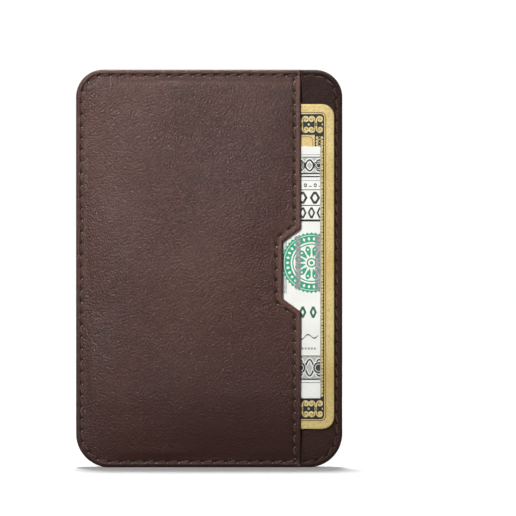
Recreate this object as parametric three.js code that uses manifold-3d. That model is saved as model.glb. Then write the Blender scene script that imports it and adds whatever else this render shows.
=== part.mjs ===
// A minimalist leather wallet, upright: +Z up, +X across, the front faces -Y, millimetres.
// The origin is the middle of the bottom edge, inside the seam between the two halves.
// Each leather or lining layer is a thin slab over one shared disc of rings, so the layers
// nest without touching: they lie flat along the stitched border and swell towards the middle.
import * as THREE from "three";
import { mergeVertices } from "three/addons/utils/BufferGeometryUtils.js";
import Module from "manifold-3d";

const wasm = await Module();
wasm.setup();

// Driving dimensions.
const WIDTH = 70.2;
const HEIGHT = 104.8;
const TOP_RADIUS = 7.2;
const BOTTOM_RADIUS = 8.8;
const BORDER = 2.0; // flat border that the seam runs along
const BORDER_BLEND = 1.6; // how far the swelling takes to leave the border

// Depths of the layers along the border, from the front face (low Y) to the back face.
const POCKET_LEATHER = 0.7;
const BODY_LEATHER = 0.75;
const LINING = 0.2;
const SEAM_Y = -0.1; // where the two halves meet, so that y = 0 is inside the back lining
const FRONT_LINING_Y = SEAM_Y - LINING;
const FRONT_BODY_Y = FRONT_LINING_Y - BODY_LEATHER;
const FRONT_POCKET_Y = FRONT_BODY_Y - POCKET_LEATHER;
const BACK_LINING_Y = SEAM_Y + LINING;
const BACK_BODY_Y = BACK_LINING_Y + BODY_LEATHER;
const BACK_POCKET_Y = BACK_BODY_Y + POCKET_LEATHER;

// How far each layer swells out at its crest, as [height, swelling] from the bottom to the top.
const FRONT_POCKET_SWELL = [
  [0, 0], [4, 0.35], [10, 1.25], [18, 1.9], [32, 2.1], [50, 2.35], [64, 2.25],
  [80, 1.85], [92, 1.4], [99, 1.0], [HEIGHT, 0.3],
];
const BACK_BODY_SWELL = [
  [0, 0], [3, 0.4], [6.5, 1.35], [10, 1.95], [14, 2.3], [22, 2.52], [40, 2.65],
  [85, 2.95], [92, 3.15], [97.5, 3.35], [101, 2.8], [HEIGHT, 1.95],
];
const BACK_POCKET_SWELL = [
  [0, 0], [3, 0.8], [6.5, 2.15], [10, 3.15], [14, 3.8], [22, 4.25], [40, 4.45],
  [60, 4.6], [86, 5.0], [HEIGHT, 5.0],
];
const BODY_BOW_POWER = 2; // how square the bow across the width is
const POCKET_BOW_POWER = 2.6;

// The side-opening front pocket: its edge, and the six-sided thumb notch in that edge.
const POCKET_EDGE_X = 24.1;
const NOTCH_DEPTH = 4.8;
const NOTCH_Z = 52;
const NOTCH_OUTER_HEIGHT = 21.9;
const NOTCH_INNER_HEIGHT = 15;
// The top-opening back pocket.
const BACK_MOUTH_Z = 85;

// Thread.
const THREAD_WIDTH = 0.5;
const THREAD_DEPTH = 0.12;
const SEAM_INSET = 1.5;
const HEM_INSET = 1.75;
const HEM_THREAD_GAP = 0.3; // clearance over the curved hem

// Contents.
const CARD = { width: 53.98, height: 85.6, depth: 0.76, radius: 3.18 };
const FRONT_CARD_EDGE_X = 32.9;
const FRONT_CARD_BOTTOM = 10.1;
const FRONT_NOTE = { width: 52, height: 66.3, depth: 0.33 };
const FRONT_NOTE_EDGE_X = 29.3;
const FRONT_NOTE_BOTTOM = 18.2;
const BACK_NOTE = { width: 52, height: 66.3, depth: 0.35 };
const BACK_NOTE_BOW = 2.0; // how far its side edges fall back from its crest
const BACK_NOTE_TOP = 91.2;
const GAP = 0.08; // clearance between loose flat pieces
const CARD_GAP = 0.15; // between the card and the panel, so that it slides over the seam's thread

// The pull strap lies between the back panel and the back note, and leans back with them.
const STRAP_WIDTH = 13;
const STRAP_DEPTH = 0.3;
const STRAP_LEAN = 0.0104; // Y for each unit of Z
const STRAP_Y = 3.28; // the strap's inner face, where the lean meets Z = 0
const STRAP_TOP = 91.8;
const STRAP_ANCHOR_TOP = 44;
const LOOP_DROP = 1.4; // how far the loop hangs under the note
const LOOP_JOINT = 0.05; // between the loop and the strap's two runs
const TAB_LIFT = 0.8; // from the strap's top to the tab's foot
const TAB_LEAN_DEG = 31;
const TAB_WIDTH = 15;
const TAB_LENGTH = 9.8;
const TAB_OUTER_DEPTH = 1.05;
const TAB_INNER_DEPTH = 0.6;
const TAB_INNER_LENGTH = 6.6;
const TAB_GLUE = 0.05; // between the tab's two layers
const TAB_CORNER_RADIUS = 3;
const TAB_SEAM_INSET = 1.4;

const ARC_STEPS = 5;
const SIDE_STEPS = 9;
const TOP_STEPS = 6;
const RING_INSETS = [0, BORDER, 3.6, 6, 9, 13, 19, 27];

const MATERIALS = {
  leather: { color: 0x4a3431, roughness: 0.55, metalness: 0 },
  leatherDark: { color: 0x35241f, roughness: 0.6, metalness: 0 },
  lining: { color: 0x6d716c, roughness: 0.9, metalness: 0 },
  thread: { color: 0x5d433b, roughness: 0.8, metalness: 0 },
  gold: { color: 0xd6c27f, roughness: 0.35, metalness: 0.7 },
  paper: { color: 0xe9eae6, roughness: 0.85, metalness: 0 },
};

const wallet = new THREE.Group();

function addPart(name, geometry, material) {
  const mesh = new THREE.Mesh(geometry, new THREE.MeshStandardMaterial(MATERIALS[material]));
  mesh.name = name;
  wallet.add(mesh);
  return mesh;
}

// The value at z of a list of [height, value], on straight lines between its levels.
function levelAt(levels, z) {
  const last = levels.length - 1;
  if (z <= levels[0][0]) return levels[0][1];
  if (z >= levels[last][0]) return levels[last][1];
  const i = levels.findIndex(([height]) => height > z);
  const [lowZ, low] = levels[i - 1];
  const [highZ, high] = levels[i];
  return THREE.MathUtils.lerp(low, high, (z - lowZ) / (highZ - lowZ));
}

// Distance inside the rounded outline, positive within it.
function distanceInside(x, z) {
  const radius = z > HEIGHT / 2 ? TOP_RADIUS : BOTTOM_RADIUS;
  const dx = Math.abs(x) - (WIDTH / 2 - radius);
  const dz = Math.abs(z - HEIGHT / 2) - (HEIGHT / 2 - radius);
  if (dx > 0 && dz > 0) return radius - Math.hypot(dx, dz);
  return radius - Math.max(dx, dz);
}

function offBorder(x, z) {
  return THREE.MathUtils.smoothstep(distanceInside(x, z), BORDER, BORDER + BORDER_BLEND);
}

const HALF_BOW = WIDTH / 2 - BORDER;

// The front pocket swells from its left seam and stays nearly level up to its open edge.
function frontSwell(x, z) {
  const across = THREE.MathUtils.clamp((x + HALF_BOW) / 23, 0, 1);
  const level = 1 - Math.pow(1 - across, 2.5);
  const opening = 1 - 0.15 * THREE.MathUtils.smoothstep(x, 8, POCKET_EDGE_X);
  return levelAt(FRONT_POCKET_SWELL, z) * level * opening * offBorder(x, z);
}

// The back half bows across its whole width. On the open top edge nothing holds it to the border.
function backSwell(levels, power, x, z) {
  const bow = Math.max(0, 1 - Math.pow(Math.abs(x) / HALF_BOW, power));
  const sides = THREE.MathUtils.smoothstep(HALF_BOW - Math.abs(x), 0, BORDER_BLEND);
  const held = z > HEIGHT / 2 ? sides : offBorder(x, z);
  return levelAt(levels, z) * bow * held;
}

const backBodySwell = (x, z) => backSwell(BACK_BODY_SWELL, BODY_BOW_POWER, x, z);
const backPocketSwell = (x, z) => backSwell(BACK_POCKET_SWELL, POCKET_BOW_POWER, x, z);

const surfaces = {
  frontPocketOuter: (x, z) => FRONT_POCKET_Y - frontSwell(x, z),
  frontPocketInner: (x, z) => FRONT_BODY_Y - frontSwell(x, z),
  frontBodyOuter: () => FRONT_BODY_Y,
  frontBodyInner: () => FRONT_LINING_Y,
  seam: () => SEAM_Y,
  backLiningInner: (x, z) => SEAM_Y + backBodySwell(x, z),
  backBodyInner: (x, z) => BACK_LINING_Y + backBodySwell(x, z),
  backBodyOuter: (x, z) => BACK_BODY_Y + backBodySwell(x, z),
  backPocketInner: (x, z) => BACK_BODY_Y + backPocketSwell(x, z),
  backPocketOuter: (x, z) => BACK_POCKET_Y + backPocketSwell(x, z),
};

// One closed ring of [x, z] points, the outline moved inwards, counter-clockwise seen from the front.
function outlineRing(inset) {
  const points = [];
  const corners = [
    { sx: 1, sz: -1, radius: BOTTOM_RADIUS, start: -90, side: SIDE_STEPS },
    { sx: 1, sz: 1, radius: TOP_RADIUS, start: 0, side: TOP_STEPS },
    { sx: -1, sz: 1, radius: TOP_RADIUS, start: 90, side: SIDE_STEPS },
    { sx: -1, sz: -1, radius: BOTTOM_RADIUS, start: 180, side: TOP_STEPS },
  ];
  const arcs = corners.map(({ sx, sz, radius, start }) => {
    const own = Math.max(radius - inset, 0.6);
    const cx = sx * (WIDTH / 2 - inset - own);
    const cz = HEIGHT / 2 + sz * (HEIGHT / 2 - inset - own);
    return Array.from({ length: ARC_STEPS + 1 }, (_, i) => {
      const angle = THREE.MathUtils.degToRad(start + (90 * i) / ARC_STEPS);
      return new THREE.Vector2(cx + own * Math.cos(angle), cz + own * Math.sin(angle));
    });
  });
  corners.forEach(({ side }, c) => {
    points.push(...arcs[c]);
    const from = arcs[c][ARC_STEPS];
    const to = arcs[(c + 1) % 4][0];
    for (let i = 1; i < side; i++) points.push(from.clone().lerp(to, i / side));
  });
  return points;
}

// A slab between two surfaces: a lathed disc whose rings are laid on the insets of the outline.
function layerGeometry(front, back) {
  const rings = RING_INSETS.map(outlineRing);
  const spokes = rings[0].length;
  const count = RING_INSETS.length;
  const profile = [];
  for (let i = 0; i <= count; i++) profile.push(new THREE.Vector2(i, 1));
  for (let i = count; i >= 0; i--) profile.push(new THREE.Vector2(i, -1));
  const geometry = new THREE.LatheGeometry(profile, spokes);
  const position = geometry.getAttribute("position");
  for (let v = 0; v < position.count; v++) {
    const spoke = Math.floor(v / profile.length) % spokes;
    const step = v % profile.length;
    const reach = Math.min(step, profile.length - 1 - step);
    const place = reach === 0 ? new THREE.Vector2(0, HEIGHT / 2) : rings[count - reach][spoke];
    const surface = step <= count ? front : back;
    position.setXYZ(v, place.x, surface(place.x, place.y), place.y);
  }
  return matchDiagonals(geometry, spokes, profile.length, count);
}

// Splits the back face's quads along the same diagonals as the front face's, so that two layers
// that share a surface share its triangles too.
function matchDiagonals(geometry, spokes, rows, count) {
  const index = geometry.getIndex();
  for (let spoke = 0; spoke < spokes; spoke++) {
    for (let row = count + 1; row < rows - 1; row++) {
      const a = spoke * rows + row;
      const [b, c, d] = [a + rows, a + rows + 1, a + 1];
      const start = (spoke * (rows - 1) + row) * 6;
      [a, b, c, a, c, d].forEach((vertex, k) => index.setX(start + k, vertex));
    }
  }
  return geometry;
}

function solidOf(geometry) {
  const bare = geometry.clone();
  bare.deleteAttribute("normal");
  bare.deleteAttribute("uv");
  const merged = mergeVertices(bare, 1e-4);
  const solid = new wasm.Manifold(
    new wasm.Mesh({
      numProp: 3,
      vertProperties: merged.attributes.position.array,
      triVerts: new Uint32Array(merged.index.array),
    }),
  );
  return solid;
}

function geometryOf(solid) {
  const mesh = solid.getMesh();
  const geometry = new THREE.BufferGeometry();
  geometry.setAttribute("position", new THREE.BufferAttribute(mesh.vertProperties, 3));
  geometry.setIndex(new THREE.BufferAttribute(mesh.triVerts, 1));
  return geometry;
}

// Cuts away everything inside an [x, z] outline, right through the depth.
function cutAway(geometry, outline) {
  const reach = 40;
  const cutter = new THREE.ExtrudeGeometry(new THREE.Shape(outline), {
    depth: reach,
    bevelEnabled: false,
  });
  cutter.rotateX(Math.PI / 2);
  cutter.translate(0, reach / 2, 0);
  return geometryOf(solidOf(geometry).subtract(solidOf(cutter)));
}

// The pocket's open edge from bottom to top, moved back from the opening by an inset.
function pocketEdge(inset) {
  const slope = (NOTCH_OUTER_HEIGHT - NOTCH_INNER_HEIGHT) / 2 / NOTCH_DEPTH;
  const rise = inset * (Math.sqrt(1 + slope * slope) - slope);
  const outer = NOTCH_OUTER_HEIGHT / 2 + rise;
  const inner = NOTCH_INNER_HEIGHT / 2 + rise;
  const edge = POCKET_EDGE_X - inset;
  return [
    new THREE.Vector2(edge, NOTCH_Z - outer),
    new THREE.Vector2(edge - NOTCH_DEPTH, NOTCH_Z - inner),
    new THREE.Vector2(edge - NOTCH_DEPTH, NOTCH_Z + inner),
    new THREE.Vector2(edge, NOTCH_Z + outer),
  ];
}

// Adds points so that no stretch of a path is longer than the step.
function subdivide(points, step) {
  const path = [];
  points.slice(0, -1).forEach((from, i) => {
    const pieces = Math.max(1, Math.ceil(from.distanceTo(points[i + 1]) / step));
    for (let k = 0; k < pieces; k++) path.push(from.clone().lerp(points[i + 1], k / pieces));
  });
  path.push(points[points.length - 1].clone());
  return path;
}

// Sideways direction of a path at one of its points, mitred at the corners.
function sideways(path, i) {
  const before = path[Math.max(i - 1, 0)];
  const after = path[Math.min(i + 1, path.length - 1)];
  const here = path[i];
  const into = here.clone().sub(before).normalize();
  const out = after.clone().sub(here).normalize();
  const along = into.add(out).normalize();
  return new THREE.Vector2(along.y, -along.x);
}

// A flat thread along an [x, z] path, lying on a surface. outward is -1 on the front, 1 on the back.
function threadGeometry(path, surface, outward, gap = 0) {
  const steps = path.length - 1;
  const geometry = new THREE.BoxGeometry(1, 1, 1, 1, 1, steps);
  const position = geometry.getAttribute("position");
  for (let v = 0; v < position.count; v++) {
    const i = Math.round((position.getZ(v) + 0.5) * steps);
    const place = path[i].clone().addScaledVector(sideways(path, i), position.getX(v) * THREAD_WIDTH);
    const lift = (position.getY(v) + 0.5) * THREAD_DEPTH;
    const base = surface(path[i].x, path[i].y) + outward * gap;
    position.setXYZ(v, place.x, base + outward * lift, place.y);
  }
  return outwardFaces(geometry);
}

// Turns a remapped geometry's faces outwards if the mapping mirrored it.
function outwardFaces(geometry) {
  const solid = solidOf(geometry);
  if (solid.volume() > 0) return geometry;
  const index = geometry.getIndex();
  for (let i = 0; i < index.count; i += 3) {
    const first = index.getX(i);
    index.setX(i, index.getX(i + 1));
    index.setX(i + 1, first);
  }
  return geometry;
}

// The seam line round the outline, as a run of the ring's points between two tests of place.
function seamRun(keep) {
  const ring = outlineRing(SEAM_INSET);
  const from = ring.findIndex((p, i) => keep(p) && !keep(ring[(i + ring.length - 1) % ring.length]));
  const run = [];
  for (let i = 0; i < ring.length && keep(ring[(from + i) % ring.length]); i++) {
    run.push(ring[(from + i) % ring.length]);
  }
  return run;
}

// Moves a run's end on along its seam to a given coordinate.
function endAt(run, atStart, axis, value) {
  const end = run[atStart ? 0 : run.length - 1].clone();
  end[axis] = value;
  return atStart ? [end, ...run] : [...run, end];
}

function flatPiece(width, height, depth, radius) {
  const shape = new THREE.Shape();
  const w = width / 2;
  const r = radius;
  shape.moveTo(-w + r, 0);
  shape.lineTo(w - r, 0);
  shape.absarc(w - r, r, r, -Math.PI / 2, 0, false);
  shape.lineTo(w, height - r);
  shape.absarc(w - r, height - r, r, 0, Math.PI / 2, false);
  shape.lineTo(-w + r, height);
  shape.absarc(-w + r, height - r, r, Math.PI / 2, Math.PI, false);
  shape.lineTo(-w, r);
  shape.absarc(-w + r, r, r, Math.PI, 1.5 * Math.PI, false);
  const geometry = new THREE.ExtrudeGeometry(shape, {
    depth,
    bevelEnabled: false,
    curveSegments: 5,
  });
  geometry.rotateX(Math.PI / 2); // the outline now stands in X and Z, and the depth runs to -Y
  return geometry;
}

function buildFrontHalf() {
  const above = HEIGHT + 5;
  const beyond = WIDTH / 2 + 5;
  const outline = [
    new THREE.Vector2(POCKET_EDGE_X, -5),
    ...pocketEdge(0),
    new THREE.Vector2(POCKET_EDGE_X, above),
    new THREE.Vector2(beyond, above),
    new THREE.Vector2(beyond, -5),
  ];
  const pocket = layerGeometry(surfaces.frontPocketOuter, surfaces.frontPocketInner);
  addPart("front_pocket_panel", cutAway(outwardFaces(pocket), outline), "leather");
  const body = layerGeometry(surfaces.frontBodyOuter, surfaces.frontBodyInner);
  addPart("front_body_panel", outwardFaces(body), "leatherDark");
  const lining = layerGeometry(surfaces.frontBodyInner, surfaces.seam);
  addPart("front_shield_lining", outwardFaces(lining), "lining");
}

function buildFrontThreads() {
  const onPocket = seamRun((p) => p.x < POCKET_EDGE_X - 0.6);
  addPart(
    "front_border_stitch",
    threadGeometry(subdivide(onPocket, 12), () => FRONT_POCKET_Y, -1),
    "thread",
  );
  const onBody = seamRun((p) => p.x > POCKET_EDGE_X + 0.6);
  addPart(
    "front_border_stitch_right",
    threadGeometry(subdivide(onBody, 12), () => FRONT_BODY_Y, -1),
    "thread",
  );
  const edge = pocketEdge(HEM_INSET);
  const ends = SEAM_INSET + 1;
  const hem = [
    new THREE.Vector2(POCKET_EDGE_X - HEM_INSET, ends),
    ...edge,
    new THREE.Vector2(POCKET_EDGE_X - HEM_INSET, HEIGHT - ends),
  ];
  const line = threadGeometry(subdivide(hem, 3), surfaces.frontPocketOuter, -1, HEM_THREAD_GAP);
  addPart("front_pocket_hem_stitch", line, "thread");
}

function buildBackHalf() {
  const lining = layerGeometry(surfaces.backLiningInner, surfaces.backBodyInner);
  addPart("back_shield_lining", outwardFaces(lining), "lining");
  const body = layerGeometry(surfaces.backBodyInner, surfaces.backBodyOuter);
  addPart("back_body_panel", outwardFaces(body), "leather");
  const pocket = layerGeometry(surfaces.backPocketInner, surfaces.backPocketOuter);
  const beyond = WIDTH / 2 + 5;
  const above = HEIGHT + 5;
  const outline = [
    new THREE.Vector2(-beyond, BACK_MOUTH_Z),
    new THREE.Vector2(beyond, BACK_MOUTH_Z),
    new THREE.Vector2(beyond, above),
    new THREE.Vector2(-beyond, above),
  ];
  addPart("back_pocket_panel", cutAway(outwardFaces(pocket), outline), "leather");
}

function buildBackThreads() {
  const low = seamRun((p) => p.y < BACK_MOUTH_Z - 1);
  const under = endAt(endAt(low, true, "y", BACK_MOUTH_Z - 1), false, "y", BACK_MOUTH_Z - 1);
  addPart(
    "back_border_stitch",
    threadGeometry(subdivide(under, 12), () => BACK_POCKET_Y, 1),
    "thread",
  );
  const high = seamRun((p) => p.y > BACK_MOUTH_Z + 1);
  const over = endAt(endAt(high, true, "y", BACK_MOUTH_Z + 1), false, "y", BACK_MOUTH_Z + 1);
  addPart(
    "back_border_stitch_top",
    threadGeometry(subdivide(over, 3), surfaces.backBodyOuter, 1, HEM_THREAD_GAP),
    "thread",
  );
  const reach = HALF_BOW - 1;
  const mouth = [
    new THREE.Vector2(-reach, BACK_MOUTH_Z - HEM_INSET),
    new THREE.Vector2(reach, BACK_MOUTH_Z - HEM_INSET),
  ];
  const line = threadGeometry(subdivide(mouth, 3), surfaces.backPocketOuter, 1, HEM_THREAD_GAP);
  addPart("back_pocket_hem_stitch", line, "thread");
}

function buildFrontContents() {
  const card = flatPiece(CARD.width, CARD.height, CARD.depth, CARD.radius);
  const cardY = FRONT_BODY_Y - CARD_GAP;
  card.translate(FRONT_CARD_EDGE_X - CARD.width / 2, cardY, FRONT_CARD_BOTTOM);
  addPart("front_card", card, "gold");
  const note = flatPiece(FRONT_NOTE.width, FRONT_NOTE.height, FRONT_NOTE.depth, 0.3);
  const noteY = cardY - CARD.depth - GAP;
  note.translate(FRONT_NOTE_EDGE_X - FRONT_NOTE.width / 2, noteY, FRONT_NOTE_BOTTOM);
  addPart("front_note", note, "paper");
}

// A piece of the strap between two heights, leaning with the strap, at a depth behind its inner face.
function strapRun(low, high, behind) {
  const run = new THREE.BoxGeometry(STRAP_WIDTH, STRAP_DEPTH, high - low);
  run.translate(0, STRAP_Y + behind + STRAP_DEPTH / 2, (low + high) / 2);
  return run.applyMatrix4(new THREE.Matrix4().makeShear(0, 0, 0, 0, 0, STRAP_LEAN));
}

// From the strap's inner face to the inner face of its run on the other side of the note.
const wrapDepth = STRAP_DEPTH + GAP + BACK_NOTE.depth + GAP;

// The paper bows with the panel behind it: straight up and down its own lean, curved across.
function buildBackNote() {
  const { width, height, depth } = BACK_NOTE;
  const note = new THREE.BoxGeometry(width, depth, height, 12, 1, 1);
  const position = note.getAttribute("position");
  const middle = BACK_NOTE_TOP - height / 2;
  for (let v = 0; v < position.count; v++) {
    const x = position.getX(v);
    const z = position.getZ(v) + middle;
    const drop = BACK_NOTE_BOW * Math.pow(Math.abs(x) / (width / 2), 3);
    const inner = STRAP_Y + STRAP_DEPTH + GAP + STRAP_LEAN * z;
    position.setXYZ(v, x, inner - drop + position.getY(v) + depth / 2, z);
  }
  addPart("back_note", note, "paper");
}

function buildStrap() {
  const noteBottom = BACK_NOTE_TOP - BACK_NOTE.height;
  const loopTop = noteBottom - GAP;
  const low = loopTop + LOOP_JOINT;
  addPart("pull_strap", strapRun(low, STRAP_TOP, 0), "leatherDark");
  addPart("pull_strap_anchor_run", strapRun(low, STRAP_ANCHOR_TOP, wrapDepth), "leatherDark");
  const loop = new THREE.Shape();
  const outer = wrapDepth + STRAP_DEPTH;
  const centre = outer / 2;
  loop.moveTo(0, 0);
  loop.absellipse(centre, 0, centre, LOOP_DROP, Math.PI, 2 * Math.PI, false, 0);
  loop.lineTo(outer - STRAP_DEPTH, 0);
  loop.absellipse(centre, 0, centre - STRAP_DEPTH, LOOP_DROP - STRAP_DEPTH, 2 * Math.PI, Math.PI, true, 0);
  loop.closePath();
  const turn = new THREE.ExtrudeGeometry(loop, {
    depth: STRAP_WIDTH,
    bevelEnabled: false,
    curveSegments: 8,
  });
  turn.rotateX(Math.PI / 2);
  turn.rotateZ(Math.PI / 2);
  const placed = new THREE.Matrix4().makeTranslation(0, STRAP_Y + STRAP_LEAN * loopTop, loopTop);
  addPart("pull_strap_loop", turn.applyMatrix4(placed), "leatherDark");
}

// One layer of the tab, in the tab's own frame: foot at the origin, +Z along the tab, depth from y.
function tabLayer(length, y, depth) {
  const shape = new THREE.Shape();
  const w = TAB_WIDTH / 2;
  const r = TAB_CORNER_RADIUS;
  shape.moveTo(-w, 0);
  shape.lineTo(w, 0);
  shape.lineTo(w, length - r);
  shape.absarc(w - r, length - r, r, 0, Math.PI / 2, false);
  shape.lineTo(-w + r, length);
  shape.absarc(-w + r, length - r, r, Math.PI / 2, Math.PI, false);
  shape.closePath();
  const layer = new THREE.ExtrudeGeometry(shape, { depth, bevelEnabled: false, curveSegments: 5 });
  layer.rotateX(Math.PI / 2);
  layer.translate(0, y + depth, 0);
  return layer;
}

// The tab's seam, up one side, round the end and down the other.
function tabSeam() {
  const w = TAB_WIDTH / 2 - TAB_SEAM_INSET;
  const top = TAB_LENGTH - TAB_SEAM_INSET;
  const r = TAB_CORNER_RADIUS - TAB_SEAM_INSET;
  const arcs = [
    new THREE.EllipseCurve(w - r, top - r, r, r, 0, Math.PI / 2),
    new THREE.EllipseCurve(-w + r, top - r, r, r, Math.PI / 2, Math.PI),
  ];
  const ends = [new THREE.Vector2(w, TAB_SEAM_INSET), new THREE.Vector2(-w, TAB_SEAM_INSET)];
  return [ends[0], ...arcs[0].getPoints(4), ...arcs[1].getPoints(4), ends[1]];
}

function buildTab() {
  const tab = new THREE.Group();
  tab.position.set(0, STRAP_Y + STRAP_LEAN * STRAP_TOP, STRAP_TOP + TAB_LIFT);
  tab.rotation.x = THREE.MathUtils.degToRad(-TAB_LEAN_DEG);
  wallet.add(tab);
  const outerStart = TAB_INNER_DEPTH + TAB_GLUE;
  const inner = tabLayer(TAB_INNER_LENGTH, 0, TAB_INNER_DEPTH);
  const outer = tabLayer(TAB_LENGTH, outerStart, TAB_OUTER_DEPTH);
  const line = threadGeometry(tabSeam(), () => outerStart + TAB_OUTER_DEPTH, 1, HEM_THREAD_GAP);
  tab.add(addPart("pull_tab_inner", inner, "leatherDark"));
  tab.add(addPart("pull_tab_outer", outer, "leatherDark"));
  tab.add(addPart("pull_tab_stitch", line, "thread"));
}

buildFrontHalf();
buildFrontThreads();
buildBackHalf();
buildBackThreads();
buildFrontContents();
buildBackNote();
buildStrap();
buildTab();

export default wallet;
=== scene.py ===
"""A minimalist leather wallet with a card, two folded notes and a pull strap, upright on a pale floor.

Lengths are worked out in millimetres and turned into metres when a mesh is made.
Outlines are [x, z] points, counter-clockwise seen from the front, and every surface is a depth y at (x, z).
"""

import math

import bpy
import numpy as np
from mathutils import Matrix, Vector
from mathutils.geometry import delaunay_2d_cdt


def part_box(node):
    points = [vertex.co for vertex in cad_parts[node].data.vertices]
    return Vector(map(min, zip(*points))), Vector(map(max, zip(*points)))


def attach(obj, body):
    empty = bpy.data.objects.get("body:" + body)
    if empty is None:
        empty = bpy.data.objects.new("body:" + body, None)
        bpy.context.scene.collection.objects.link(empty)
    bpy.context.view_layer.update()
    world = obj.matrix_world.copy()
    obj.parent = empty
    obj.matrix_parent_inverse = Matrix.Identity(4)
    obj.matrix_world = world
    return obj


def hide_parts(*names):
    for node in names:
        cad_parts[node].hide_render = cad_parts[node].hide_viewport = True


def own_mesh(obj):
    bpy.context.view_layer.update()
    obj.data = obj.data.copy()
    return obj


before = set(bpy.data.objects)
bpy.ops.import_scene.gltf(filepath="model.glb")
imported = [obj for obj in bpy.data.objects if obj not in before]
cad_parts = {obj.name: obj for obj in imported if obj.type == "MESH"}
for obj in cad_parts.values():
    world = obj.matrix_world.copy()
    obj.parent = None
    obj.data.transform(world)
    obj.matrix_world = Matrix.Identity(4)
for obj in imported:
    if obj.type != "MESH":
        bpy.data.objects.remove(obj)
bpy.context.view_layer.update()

MM = 0.001
random = np.random.default_rng(11)


def node_box(node):
    low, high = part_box(node)
    return np.array(low) / MM, np.array(high) / MM


# ---------------- dimensions, from the frame where it has them
body_low, body_high = node_box("front_body_panel")
WIDTH = body_high[0] - body_low[0]
HEIGHT = body_high[2] - body_low[2]
FRONT_BODY_Y = body_low[1]
FRONT_LINING_Y = body_high[1]
SEAM_Y = node_box("front_shield_lining")[1][1]
LINING = SEAM_Y - FRONT_LINING_Y
BODY_LEATHER = FRONT_LINING_Y - FRONT_BODY_Y
POCKET_LEATHER = 0.7
BACK_LINING_Y = SEAM_Y + LINING
BACK_BODY_Y = BACK_LINING_Y + BODY_LEATHER
BACK_POCKET_Y = BACK_BODY_Y + POCKET_LEATHER
FRONT_POCKET_Y = FRONT_BODY_Y - POCKET_LEATHER
TOP_RADIUS = 7.2
TOP_OPENING = 0.8
BOTTOM_RADIUS = 8.8
POCKET_EDGE_X = node_box("front_pocket_panel")[1][0]
BACK_MOUTH_Z = node_box("back_pocket_panel")[1][2]
NOTCH_DEPTH = 4.8
NOTCH_Z = 52.0
NOTCH_OUTER_HEIGHT = 21.9
NOTCH_INNER_HEIGHT = 15.0
SEAM_INSET = 1.5
HEM_INSET = 1.75
STITCH_PITCH = 3.08
HOLE_RADIUS = 0.33
LINING_INSET = 0.55
CARD_RADIUS = 3.18
HALF_BOW = WIDTH / 2 - 2.0

# How far each layer swells out, as [height, swelling] from the bottom to the top.
FRONT_POCKET_SWELL = [
    [0, 0], [4, 0.35], [10, 1.25], [18, 1.9], [32, 2.1], [50, 2.35], [64, 2.25],
    [80, 1.85], [92, 1.4], [99, 1.0], [104.8, 0.3],
]
BACK_BODY_SWELL = [
    [0, 0], [3, 0.4], [6.5, 1.35], [10, 1.95], [14, 2.3], [22, 2.52], [40, 2.65],
    [85, 2.95], [92, 3.15], [97.5, 3.35], [101, 2.8], [104.8, 1.95],
]
BACK_POCKET_SWELL = [
    [0, 0], [3, 0.8], [6.5, 2.15], [10, 3.15], [14, 3.8], [22, 4.25], [40, 4.45],
    [60, 4.6], [86, 5.0], [104.8, 5.0],
]


# ---------------- surfaces
def smoothstep(value, low, high):
    t = np.clip((value - low) / (high - low), 0, 1)
    return t * t * (3 - 2 * t)


def level(levels, z):
    """The swelling at a height, on a smooth curve through the levels."""
    heights = np.arange(-6.0, 112.0, 0.5)
    table = np.array(levels, float)
    values = np.interp(heights, table[:, 0], table[:, 1])
    weights = np.exp(-((np.arange(-8, 9) * 0.5 / 1.4) ** 2) / 2)
    soft = np.convolve(np.pad(values, 8, mode="edge"), weights / weights.sum(), "valid")
    return np.interp(z, heights, soft)


def inside(x, z):
    """How far a point is inside the wallet's rounded outline."""
    radius = np.where(z > HEIGHT / 2, TOP_RADIUS, BOTTOM_RADIUS)
    dx = np.abs(x) - (WIDTH / 2 - radius)
    dz = np.abs(z - HEIGHT / 2) - (HEIGHT / 2 - radius)
    corner = radius - np.hypot(np.maximum(dx, 0), np.maximum(dz, 0))
    return np.where((dx > 0) & (dz > 0), corner, radius - np.maximum(dx, dz))


def off_border(x, z):
    return smoothstep(inside(x, z), 1.9, 4.0)


def front_swell(x, z):
    across = np.clip((x + HALF_BOW) / 23, 0, 1)
    rise = 1 - (1 - across) ** 2.5
    opening = 1 - 0.15 * smoothstep(x, 8, POCKET_EDGE_X)
    return level(FRONT_POCKET_SWELL, z) * rise * opening * off_border(x, z)


def back_swell(levels, power, x, z):
    bow = np.maximum(0, 1 - (np.abs(x) / HALF_BOW) ** power)
    sides = smoothstep(HALF_BOW - np.abs(x), 0, 1.6)
    held = np.where(z > HEIGHT / 2, sides, smoothstep(inside(x, z), 2.0, 3.6))
    return level(levels, z) * bow * held


def back_body_swell(x, z):
    lean = TOP_OPENING * np.maximum(0, (z - 91) / (HEIGHT - 91)) ** 2
    return back_swell(BACK_BODY_SWELL, 2.0, x, z) + lean


def back_pocket_swell(x, z):
    return back_swell(BACK_POCKET_SWELL, 2.6, x, z)


def undulation(seed, size):
    """A gentle seeded unevenness of handled leather, about -1 to 1, with hills about that size."""
    own = np.random.default_rng(seed)
    waves = []
    for _ in range(9):
        turn = own.uniform(0, 2 * math.pi)
        rate = 2 * math.pi / (size * own.uniform(0.7, 1.6))
        waves.append((rate * math.cos(turn), rate * math.sin(turn), own.uniform(0, 2 * math.pi)))
    return lambda x, z: sum(np.sin(a * x + b * z + c) for a, b, c in waves) / 4.0


def bell(distance, width):
    return np.exp(-((distance / width) ** 2))


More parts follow.
